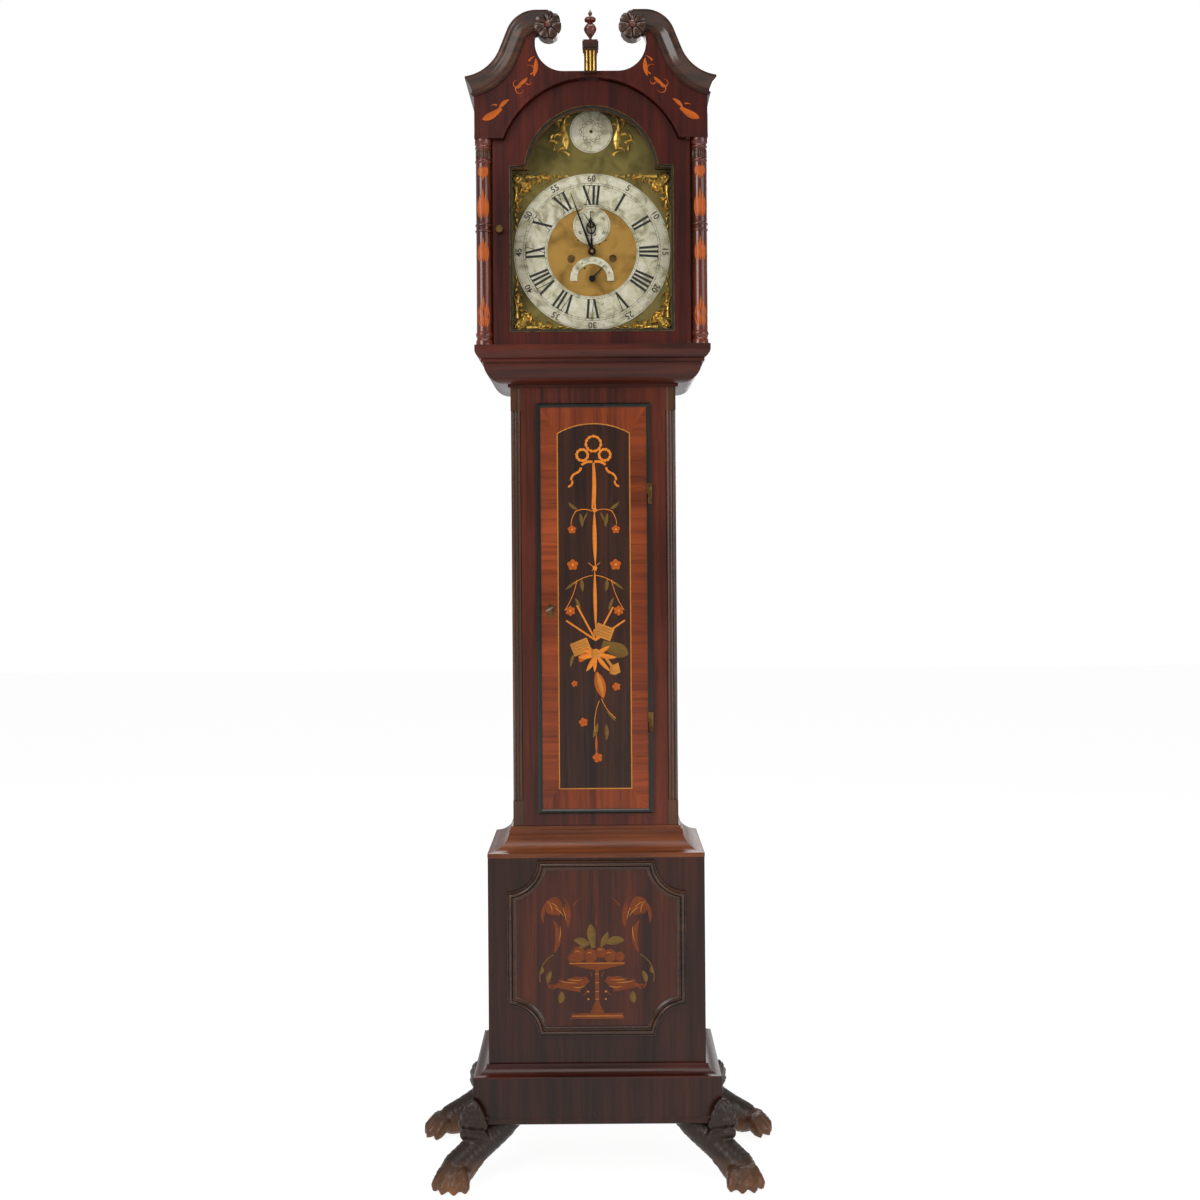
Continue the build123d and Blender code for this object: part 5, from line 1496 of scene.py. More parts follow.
@dataclass
class HoodColumns:
    """The two ringed columns, their reeded necks and the inlaid husks."""

    shop: Workshop
    reeds: int = 20

    def build(self) -> None:
        """Build both columns."""
        low, high = self.shop.box("hood_columns")
        radius = (high.y - low.y) / 2
        across = high.x - radius
        middle = (low.y + high.y) / 2
        ring = radius
        waist = 13.4
        profile = [(ring, 0), (ring, 8)]
        profile += smoothed([(ring, 8), (13.4, 11.5), (13.8, 14), (ring, 17.5), (ring, 21), (14.2, 24)], 4)
        profile += [(13.8, 26), (13.7, 120), (waist, 205)]
        for height in (209.0, 220.0):
            profile += smoothed(
                [
                    (waist, height - 2.4), (15.0, height - 1.6), (ring, height), (15.0, height + 1.6),
                    (waist, height + 2.4)
                ],
                3
            )
            profile += [(waist - 0.6, height + 3.2)]
        profile += [(waist, 226), (13.1, 333)]
        profile += smoothed([(13.1, 333), (14.5, 335), (14.8, 337), (14.3, 339), (12.2, 341)], 3)
        profile += [(12.2, 358)]
        profile += smoothed([(12.2, 358), (14.6, 360.5), (14.8, 363), (13.6, 366), (ring, 369)], 3)
        profile += [(ring, 377)]
        shape = bmesh.new()
        for side in (1, -1):
            turn(shape, profile, Matrix.Translation(Vector((side * across, middle, low.z)) * MM), 48)
        piece = finished("columns", shape, self.shop.palette.get("turned_mahogany"), 38)
        self.shop.seat(piece, "hood", "mahogany", "hood_columns")
        for side, name in ((1, "right"), (-1, "left")):
            reed = bmesh.new()
            turn(
                reed, [(0.5, 341.4), (1.5, 343), (1.5, 356), (0.5, 357.6)],
                Matrix.Translation(Vector((12.4, 0, 0)) * MM), 8
            )
            unit = finished("reed", reed, self.shop.palette.get("turned_mahogany"), 50)
            reeds = self.shop.repeater.repeat(
                f"reeds_{name}", unit, self.reeds, Vector((side * across, middle, low.z)) * MM,
                self.shop.palette.get("reeded_mahogany"), upright=True,
            )
            self.shop.seat(reeds, "hood", "mahogany")
            self.husks(side * across, middle, low.z, name)

    def husks(self, x: float, y: float, floor: float, name: str) -> None:
        """Bands of husk leaves let into the shaft's front, wrapped on its surface.

        Args:
            x: the shaft's centre across.
            y: the shaft's centre in depth.
            floor: the shaft's foot.
            name: which side it is.
        """
        flat = Ornament(0.0, 0.0)
        for foot, run, up in ((32, 58, 1), (152, 46, 1), (232, 56, 1), (300, 26, -1)):
            start = foot if up > 0 else foot + run
            for spread in (-52, -26, 0, 26, 52):
                length = run * (0.98 - 0.006 * abs(spread))
                flat.stroke(Stroke(
                    spread * 0.12, start, 90 * up + spread * -0.3 * up, length, spread * 0.5 * up, 5.2,
                    Taper.LEAF
                ))
        radius = 13.95
        for vert in flat.shape.verts:
            around = vert.co.x / MM / radius
            vert.co = Vector((
                x + radius * math.sin(around), y - radius * math.cos(around), floor + vert.co.z / MM
            )) * MM
        piece = finished(f"husks_{name}", flat.shape, self.shop.palette.get("padouk"), 40)
        self.shop.seat(piece, "hood", "mahogany")


@dataclass
class Dial:
    """The dial's numerals, divisions, spandrels, arch mounts and centre."""

    shop: Workshop
    outer: float = 146.0
    numeral_out: float = 124.0
    numeral_in: float = 88.0
    minute_out: float = 128.5
    minute_in: float = 124.5
    five_radius: float = 136.5
    five_size: float = 16.0
    numerals: tuple[str, ...] = ("XII", "I", "II", "III", "IIII", "V", "VI", "VII", "VIII", "IX", "X", "XI")
    winding_across: float = 38.8
    winding_drop: float = 12.4
    seconds_rise: float = 48.8
    boss_radius: float = 39.8
    date_drop: float = 50.0
    face: float = field(init=False, default=0.0)
    plate: float = field(init=False, default=0.0)
    half: float = field(init=False, default=0.0)
    middle: Point = field(init=False, default=(0.0, 0.0))
    boss: Point = field(init=False, default=(0.0, 0.0))

    def build(self) -> None:
        """Build everything on the dial's face."""
        low, high = self.shop.box("dial_rings")
        self.face = low.y
        plate_low, plate_high = self.shop.box("dial_plate")
        self.plate = plate_low.y
        self.middle = (0.0, low.z + self.outer)
        self.half = plate_high.x
        self.boss = (0.0, high.z - self.boss_radius)
        self.chapters()
        self.divisions()
        self.figures()
        self.engraved_boss()
        self.centre()
        self.spandrels()
        self.arch_mounts()

    def chapters(self) -> None:
        """The engraved Roman numerals, each standing towards the centre."""
        wax = Ornament(self.face, 0.06)
        for hour, text in enumerate(self.numerals):
            self.numeral(wax, text, hour * 30.0)
        wax.done("hour_numerals", self.shop.palette.get("black_wax"), "case")

    def numeral(self, wax: Ornament, text: str, reading: float) -> None:
        """One Roman numeral of thick and thin strokes with serifs.

        Args:
            wax: the ornament that gets the strokes.
            text: the numeral.
            reading: its clockwise angle from the top, in degrees.
        """
        widths = {"I": 8.6, "V": 17.0, "X": 17.0}
        total = sum(widths[letter] for letter in text)
        cursor = -total / 2
        thick, thin, serif = 4.6, 1.2, 1.3
        bars: list[tuple[Point, Point, float]] = []
        for letter in text:
            middle = cursor + widths[letter] / 2
            half = widths[letter] / 2 - 2.0
            if letter == "I":
                bars.append(((middle, 0.0), (middle, 1.0), thick))
                feet = [(middle, 0.0), (middle, 1.0)]
            elif letter == "V":
                bars.append(((middle - half + 1, 1.0), (middle, 0.0), thick))
                bars.append(((middle + half - 1, 1.0), (middle, 0.0), thin))
                feet = [(middle - half + 1, 1.0), (middle + half - 1, 1.0)]
            else:
                bars.append(((middle - half + 1, 1.0), (middle + half - 1, 0.0), thick))
                bars.append(((middle + half - 1, 1.0), (middle - half + 1, 0.0), thin))
                feet = [(middle + across, level) for across in (half - 1, 1 - half) for level in (0.0, 1.0)]
            for foot in feet:
                spread = 3.6
                bars.append(((foot[0] - spread, foot[1]), (foot[0] + spread, foot[1]), -serif))
            cursor += widths[letter]
        rise = self.numeral_out - self.numeral_in
        angle = math.radians(reading)
        for start, end, width in bars:
            points = []
            for x, level in (start, end):
                radial = self.numeral_in + level * rise
                spread = x * (0.78 + 0.3 * level)
                if width < 0:
                    radial += (0.5 if level == 0.0 else -0.5) * -width
                points.append(
                    Vector(
                        (
                            self.middle[0] + math.sin(angle) * radial + math.cos(angle) * spread,
                            self.middle[1] + math.cos(angle) * radial - math.sin(angle) * spread,
                        )
                    )
                )
            ahead = points[1] - points[0]
            side = Vector((-ahead.y, ahead.x)).normalized() * abs(width) / 2
            wax.slab([
                tuple(points[0] - side), tuple(points[1] - side), tuple(points[1] + side),
                tuple(points[0] + side)
            ])

    def marks(self, name: str, count: int, inner: float, outer: float, width: float, centre: Point) -> None:
        """Equal divisions round a circle.

        Args:
            name: the piece's name.
            count: how many divisions.
            inner: their inner radius.
            outer: their outer radius.
            width: their width.
            centre: the circle's centre.
        """
        mark = bmesh.new()
        corners = [(inner, -width / 2), (outer, -width / 2), (outer, width / 2), (inner, width / 2)]
        bridge(mark, [[mark.verts.new(Vector((x, y, z)) * MM) for x, y in corners] for z in (0.0, 0.06)])
        unit = finished(name + "_mark", mark, self.shop.palette.get("black_wax"), 0.0)
        place = Vector((centre[0], self.face, centre[1])) * MM
        piece = self.shop.repeater.repeat(
            name, unit, count, place, self.shop.palette.get("black_wax"), start=90
        )
        self.shop.seat(piece, "case", "silvered_brass")

    def circle(self, wax: Ornament, radius: float, width: float, centre: Point, steps: int = 90) -> None:
        """An engraved circle, as a ring of short slabs."""
        for step in range(steps):
            arc = 360 / steps
            near = ring_points(radius - width / 2, step * arc, (step + 1) * arc, 1, centre)
            far = ring_points(radius + width / 2, step * arc, (step + 1) * arc, 1, centre)
            wax.slab([near[0], far[0], far[1], near[1]])

    def divisions(self) -> None:
        """The minute track, hour ticks and the engraved circles."""
        self.marks("minute_track", 60, self.minute_in, self.minute_out, 0.7, self.middle)
        self.marks("quarter_track", 48, 85.4, 88.4, 0.6, self.middle)
        self.marks("seconds_track", 60, 31.5, 34.2, 0.4, (0.0, self.middle[1] + self.seconds_rise))
        wax = Ornament(self.face, 0.06)
        for radius in (self.minute_in, self.minute_out, self.outer - 2.0, 85.2, 88.6):
            self.circle(wax, radius, 0.5, self.middle)
        self.circle(wax, 31.3, 0.4, (0.0, self.middle[1] + self.seconds_rise), 60)
        self.circle(wax, 37.6, 0.5, self.boss, 60)
        wax.done("engraved_circles", self.shop.palette.get("black_wax"), "case")

    def figures(self) -> None:
        """The five-minute figures round the edge and the tens of the seconds dial."""
        places = [
            (str(5 * step), 30.0 * step, self.five_radius, self.five_size, self.middle)
            for step in range(1, 13)
        ]
        seconds = (0.0, self.middle[1] + self.seconds_rise)
        places += [(str(10 * step), 60.0 * step, 25.5, 7.0, seconds) for step in range(1, 7)]
        date = (0.0, self.middle[1] - self.date_drop)
        places += [(str(day), -80 + 5.2 * day, 33.5, 5.2, date) for day in range(1, 31, 4)]
        shape = bmesh.new()
        for text, reading, radius, size, centre in places:
            curve = bpy.data.curves.new("figure", "FONT")
            curve.body = text
            curve.size = size * MM
            curve.align_x = "CENTER"
            curve.align_y = "CENTER"
            curve.extrude = 0.00008
            curve.offset = 0.00022 if size > 8 else 0.0001
            holder = bpy.data.objects.new("figure", curve)
            bpy.context.collection.objects.link(holder)
            mesh = bpy.data.meshes.new_from_object(
                holder.evaluated_get(bpy.context.evaluated_depsgraph_get())
            )
            angle = math.radians(reading)
            spot = Vector((
                centre[0] + radius * math.sin(angle), self.face, centre[1] + radius * math.cos(angle)
            )) * MM
            mesh.transform(
                Matrix.Translation(spot) @ Matrix.Rotation(angle, 4, "Y")
                @ Matrix.Rotation(math.pi / 2, 4, "X")
            )
            shape.from_mesh(mesh)
            bpy.data.objects.remove(holder)
            bpy.data.meshes.remove(mesh)
        piece = finished("dial_figures", shape, self.shop.palette.get("black_wax"), 0.0)
        self.shop.seat(piece, "case", "silvered_brass")

    def engraved_boss(self) -> None:
        """The ornament engraved on the boss in the arch: a ring of leaves, with no lettering."""
        wax = Ornament(self.face, 0.05)
        for step in range(12):
            angle = 30.0 * step
            spot = ring_points(17.0, angle, angle, 1, self.boss)[0]
            wax.stroke(Stroke(spot[0], spot[1], angle + 60, 15, 50, 1.2, Taper.TAIL))
            wax.stroke(Stroke(spot[0], spot[1], angle - 40, 11, -50, 1.0, Taper.TAIL))
        self.circle(wax, 15.0, 0.5, self.boss, 40)
        wax.done("boss_engraving", self.shop.palette.get("black_wax"), "case")
        stud = bmesh.new()
        place = Matrix.Translation(Vector((
            self.boss[0], self.face, self.boss[1]
        )) * MM) @ Matrix.Rotation(math.pi / 2, 4, "X")
        turn(stud, [(3.2, 0.0), (3.2, 1.2), (2.0, 2.0), (0.5, 2.3)], place, 20)
        piece = finished("boss_stud", stud, self.shop.palette.get("old_brass"))
        self.shop.seat(piece, "case", "dial_brass")

    def centre(self) -> None:
        """The matted centre, the winding holes' rims and the small screws."""
        curve = bpy.data.curves.new("matted_centre", "CURVE")
        curve.dimensions, curve.fill_mode, curve.extrude = "2D", "BOTH", 0.00006
        holes = [
            (0.0, 0.0, 83.2, 90), (self.winding_across, -self.winding_drop, 5.5, 24),
            (-self.winding_across, -self.winding_drop, 5.5, 24), (0.0, 0.0, 5.2, 24), (0.0, -self.date_drop, 1.8, 16)
        ]
        for x, z, radius, corners in holes:
            spline = curve.splines.new("POLY")
            spline.points.add(corners - 1)
            for point, spot in zip(
                spline.points, ring_points(radius, 0, 360 - 360 / corners, corners - 1, (x, z))
            ):
                point.co = (spot[0] * MM, spot[1] * MM, 0.0, 1.0)
            spline.use_cyclic_u = True
        holder = bpy.data.objects.new("matted_centre", curve)
        bpy.context.collection.objects.link(holder)
        mesh = bpy.data.meshes.new_from_object(holder.evaluated_get(bpy.context.evaluated_depsgraph_get()))
        mesh.transform(Matrix.Translation(Vector((
            0, self.plate - 0.06, self.middle[1]
        )) * MM) @ Matrix.Rotation(math.pi / 2, 4, "X"))
        bpy.data.objects.remove(holder)
        plate = bmesh.new()
        plate.from_mesh(mesh)
        bpy.data.meshes.remove(mesh)
        self.shop.seat(
            finished("matted_centre", plate, self.shop.palette.get("matted_brass"), 0.0), "case", "dial_brass"
        )
        shape = bmesh.new()
        forward = Matrix.Rotation(math.pi / 2, 4, "X")
        for side in (1, -1):
            place = Matrix.Translation(Vector((
                side * self.winding_across, self.plate - 0.12, self.middle[1] - self.winding_drop
            )) * MM) @ forward
            turn(shape, [(7.4, 0.0), (7.4, 0.8), (6.6, 1.1), (5.6, 1.1), (5.5, 0.4)], place, 32)
        for x, z in (
            (26.0, 22.0), (-26.0, 22.0), (14.0, 14.0), (-14.0, -30.0), (38.0, -34.0), (-38.0, -34.0)
        ):
            place = Matrix.Translation(Vector((x, self.plate - 0.12, self.middle[1] + z)) * MM) @ forward
            turn(shape, [(1.9, 0.0), (1.9, 0.5), (1.2, 0.9), (0.3, 1.0)], place, 16)
        rims = finished("winding_rims", shape, self.shop.palette.get("old_brass"))
        self.shop.seat(rims, "case", "dial_brass")

    def spandrels(self) -> None:
        """Four gilt corner castings of scrolled fronds."""
        relief = Ornament(self.plate, 3.2, domed=True)
        corner = self.half - 6.0
        fronds = [
            Stroke(corner - 2, corner - 2, 225, 40, 0, 9, Taper.LEAF),
            Stroke(corner - 6, corner - 2, 200, 34, 60, 7, Taper.TAIL),
            Stroke(corner - 24, corner - 4, 190, 42, -40, 7, Taper.TAIL),
            Stroke(corner - 30, corner - 5, 170, 22, 230, 4.6, Taper.TAIL),
            Stroke(corner - 52, corner - 6, 186, 34, 40, 6, Taper.TAIL),
            Stroke(corner - 60, corner - 8, 160, 20, 240, 4, Taper.TAIL),
            Stroke(corner - 84, corner - 6, 176, 24, 30, 4.6, Taper.TAIL),
            Stroke(corner - 16, corner - 16, 180, 26, 90, 6, Taper.TAIL),
            Stroke(corner - 20, corner - 20, 250, 14, 160, 5, Taper.TAIL),
            Stroke(corner - 36, corner - 12, 230, 16, 120, 4.4, Taper.TAIL),
            Stroke(corner - 46, corner - 12, 250, 10, 100, 4, Taper.TAIL),
            Stroke(corner - 66, corner - 4, 210, 12, 100, 4, Taper.TAIL),
            Stroke(corner - 8, corner - 14, 170, 20, -110, 4.6, Taper.TAIL),
            Stroke(corner - 40, corner - 3, 200, 20, 70, 4.6, Taper.LEAF),
            Stroke(corner - 28, corner - 14, 200, 16, -120, 4.4, Taper.TAIL),
            Stroke(corner - 74, corner - 3, 190, 16, 50, 4.0, Taper.LEAF),
            Stroke(corner - 14, corner - 26, 230, 18, -70, 4.6, Taper.LEAF),
            Stroke(corner - 96, corner - 4, 180, 20, 24, 3.6, Taper.LEAF),
        ]
        for frond in fronds:
            frond.width *= 1.35
        both = fronds + [
            Stroke(s.z, s.x, 90 - s.heading, s.length, -s.bend, s.width, s.taper) for s in fronds[1:]
        ]
        limit = 148.5
        for quarter in range(4):
            for stroke in both:
                x, z = stroke.x, stroke.z
                heading = stroke.heading
                for _ in range(quarter):
                    x, z = -z, x
                    heading += 90
                placed = Stroke(
                    x, z + self.middle[1], heading, stroke.length, stroke.bend, stroke.width, stroke.taper
                )
                if all((spot - Vector(self.middle)).length > limit for spot, _ in placed.line()[3:]):
                    relief.stroke(placed)
                else:
                    short = Stroke(
                        x, z + self.middle[1], heading, stroke.length * 0.45, stroke.bend, stroke.width,
                        stroke.taper
                    )
                    relief.stroke(short)
            for reach in (7.0, 26.0):
                spot = Vector((corner - reach, corner - reach))
                for _ in range(quarter):
                    spot = Vector((-spot.y, spot.x))
                if spot.length > limit + 3:
                    relief.button(spot.x, spot.y + self.middle[1], 4.2, 4.4)
        piece = relief.done("spandrels", self.shop.palette.get("gilt"), "case")
        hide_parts("dial_mounts")

    def arch_mounts(self) -> None:
        """The two gilt scrolled mounts beside the boss."""
        relief = Ornament(self.plate, 3.0, domed=True, centre=self.boss)
        fronds = [
            Stroke(46, -34, 78, 40, 20, 10, Taper.LEAF),
            Stroke(52, 0, 84, 34, 44, 9, Taper.TAIL),
            Stroke(56, -6, 40, 20, -150, 6, Taper.TAIL),
            Stroke(64, -22, 60, 22, -120, 6, Taper.TAIL),
            Stroke(50, -30, 10, 18, -100, 6, Taper.TAIL),
            Stroke(48, 12, 130, 12, 120, 4.5, Taper.TAIL),
            Stroke(54, 22, 30, 14, -160, 5, Taper.TAIL),
            Stroke(44, 28, 110, 18, 60, 5, Taper.TAIL),
            Stroke(60, 8, 80, 18, -40, 5, Taper.LEAF),
            Stroke(70, -34, 110, 16, -90, 5, Taper.TAIL),
            Stroke(40, -44, 50, 20, -60, 6, Taper.TAIL),
            Stroke(76, -16, 90, 14, 60, 4, Taper.LEAF),
        ]
        for frond in fronds:
            frond.width *= 1.3
        relief.strokes(fronds, both=True)
        relief.done("arch_mounts", self.shop.palette.get("gilt"), "case")


@dataclass
class Hands:
    """The pierced hour hand, built round the centre at its reading."""

    shop: Workshop
    reading: float = 358.35
    length: float = 76.0

    def build(self) -> None:
        """Build the hour hand in place of its plain frame piece."""
        low, high = self.shop.box("hour_hand")
        ring = self.shop.box("dial_rings")
        middle = Vector((0.0, ring[0].z + 146.0))
        hand = Ornament(high.y, high.y - low.y, domed=False)
        turn_by = -self.reading
        rotate = Matrix.Rotation(math.radians(turn_by), 2)

        def place(stroke: Stroke) -> Stroke:
            """Turn a stroke to the hand's reading, about the dial's middle.

            Args:
                stroke: the stroke, as drawn with the hand upright.

            Returns:
                The stroke in its place.
            """
            spot = rotate @ Vector((stroke.x, stroke.z)) + middle
            return Stroke(
                spot.x, spot.y, stroke.heading + turn_by, stroke.length, stroke.bend, stroke.width,
                stroke.taper
            )

        for stroke in (
            Stroke(0, 3, 90, 30, 0, 7.0, Taper.TAIL),
            Stroke(0, 26, 90, 18, 0, 2.4, Taper.RIBBON),
            Stroke(1, 33, 30, 26, 120, 2.6, Taper.RIBBON),
            Stroke(1, 44, 20, 16, 160, 2.2, Taper.RIBBON),
            Stroke(0, 56, 90, 20, 0, 3.4, Taper.TAIL),
            Stroke(1, 56, 40, 10, 150, 1.8, Taper.TAIL),
            Stroke(5, 30, -10, 10, 200, 1.8, Taper.TAIL),
        ):
            hand.stroke(place(stroke))
            hand.stroke(place(stroke.mirrored()))
        hand.button(middle.x, middle.y, 7.5)
        piece = hand.done("pierced_hour_hand", self.shop.palette.get("blued_steel"), "hour")
        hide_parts("hour_hand")


@dataclass
class GoingParts:
    """The bell, pendulum bob, weights and lines, turned smooth."""

    shop: Workshop

    def build(self) -> None:
        """Build the turned and hanging parts."""
        self.bell()
        self.bob()
        for side, name in ((1, "going"), (-1, "strike")):
            self.weight(side, name)

    def bell(self) -> None:
        """The bell's shell and its stand."""
        low, high = self.shop.box("bell")
        radius = 46.0
        centre_y = low.y + radius
        outside = smoothed([(46, 0), (45.2, 2), (43.2, 9), (39, 18), (30, 25.4), (14, 29.4), (1, 30)], 4)
        inside = [(max(0.5, r - 2.2), max(0.4, z - 2.0)) for r, z in reversed(outside)]
        shape = bmesh.new()
        turn(shape, outside + inside + [(46, 0)], Matrix.Translation(Vector((0, centre_y, low.z)) * MM), 56)
        stand = ((-4, centre_y - 4, 30), (4, high.y, 33))
        for first, second in (stand, ((-4, high.y - 3, -32), (4, high.y, 30))):
            corners = [
                (first[0], first[1]), (second[0], first[1]), (second[0], second[1]), (first[0], second[1])
            ]
            bridge(
                shape,
                [
                    [shape.verts.new(Vector((x, y, low.z + 32 + z)) * MM) for x, y in corners]
                    for z in (first[2] - 32, second[2] - 32)
                ]
            )
        self.shop.seat(
            finished("bell_shell", shape, self.shop.palette.get("bell_metal")), "case", "bell_metal", "bell"
        )

    def bob(self) -> None:
        """The lenticular brass bob."""
        low, high = self.shop.box("pendulum_bob")
        centre = (low + high) / 2
        half, radius = (high.y - low.y) / 2, 54.0
        side = [
            (
                radius * math.sin(math.pi / 2 * step / 10),
                half * (0.08 + 0.92 * math.cos(math.pi / 2 * step / 10))
            )
            for step in range(11)
        ]
        side[0] = (0.4, half)
        profile = [(r, -h) for r, h in side] + [(r, h) for r, h in reversed(side)]
        shape = bmesh.new()
        turn(shape, profile, Matrix.Translation(centre * MM) @ Matrix.Rotation(math.pi / 2, 4, "X"), 64)
        self.shop.seat(
            finished("brass_bob", shape, self.shop.palette.get("polished_brass")), "pendulum", "clock_brass",
            "pendulum_bob"
        )

    def weight(self, side: int, name: str) -> None:
        """One weight with its stirrup and pulley, and the two runs of its line.

        Args:
            side: 1 on the right, -1 on the left.
            name: the train that it drives.
        """
        low, high = self.shop.box(f"{name}_weight")
        centre = (low + high) / 2
        shape = bmesh.new()
        place = Matrix.Translation(Vector((centre.x, centre.y, low.z)) * MM)
        turn(
            shape,
            smoothed(
                [
                    (26, 0), (30.5, 1.4), (32, 5), (32, 60), (32, 198), (30, 202), (24, 204.6), (8, 205),
                    (1, 205)
                ],
                4
            ),
            place, 40
        )
        self.shop.seat(
            finished(f"{name}_weight_body", shape, self.shop.palette.get("painted_lead")), f"{name}_weight",
            "cast_weight", f"{name}_weight"
        )
        pulley = bmesh.new()
        wheel = Matrix.Translation(Vector((
            centre.x, centre.y, low.z + 239
        )) * MM) @ Matrix.Rotation(math.pi / 2, 4, "X")
        turn(
            pulley, [(2, -4), (16.6, -4), (16.6, -3), (15, -1), (15, 1), (16.6, 3), (16.6, 4), (2, 4)], wheel,
            36
        )
        for y in (-6.4, 4.4):
            corners = [(-3, y), (3, y), (3, y + 2), (-3, y + 2)]
            bridge(
                pulley,
                [
                    [
                        pulley.verts.new(Vector((centre.x + a, centre.y + b, low.z + z)) * MM) for a,
                        b in corners
                    ]
                    for z in (205, 245)
                ]
            )
        corners = [(-3, -6.4), (3, -6.4), (3, 6.4), (-3, 6.4)]
        bridge(
            pulley,
            [
                [pulley.verts.new(Vector((centre.x + a, centre.y + b, low.z + z)) * MM) for a, b in corners]
                for z in (205, 211)
            ]
        )
        self.shop.seat(
            finished(f"{name}_pulley", pulley, self.shop.palette.get("old_brass")), f"{name}_weight",
            "cast_weight"
        )
        self.lines(name)

    def lines(self, name: str) -> None:
        """The line's two runs."""
        low, high = self.shop.box(f"{name}_line")
        seat = self.shop.box("seatboard")[0].z
        runs = sorted((low.x + 0.9, high.x - 0.9), key=abs)
        for index, (x, top) in enumerate(zip(runs, (high.z, seat))):
            rope = bmesh.new()
            turn(
                rope, [(0.9, 0.0), (0.9, top - low.z)],
                Matrix.Translation(Vector((x, (low.y + high.y) / 2, low.z)) * MM), 12
            )
            piece = finished(f"{name}_run_{index + 1}", rope, self.shop.palette.get("gut"))
            self.shop.seat(piece, "case", "gut_line", *((f"{name}_line",) if index == 0 else ()))
            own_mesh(piece)


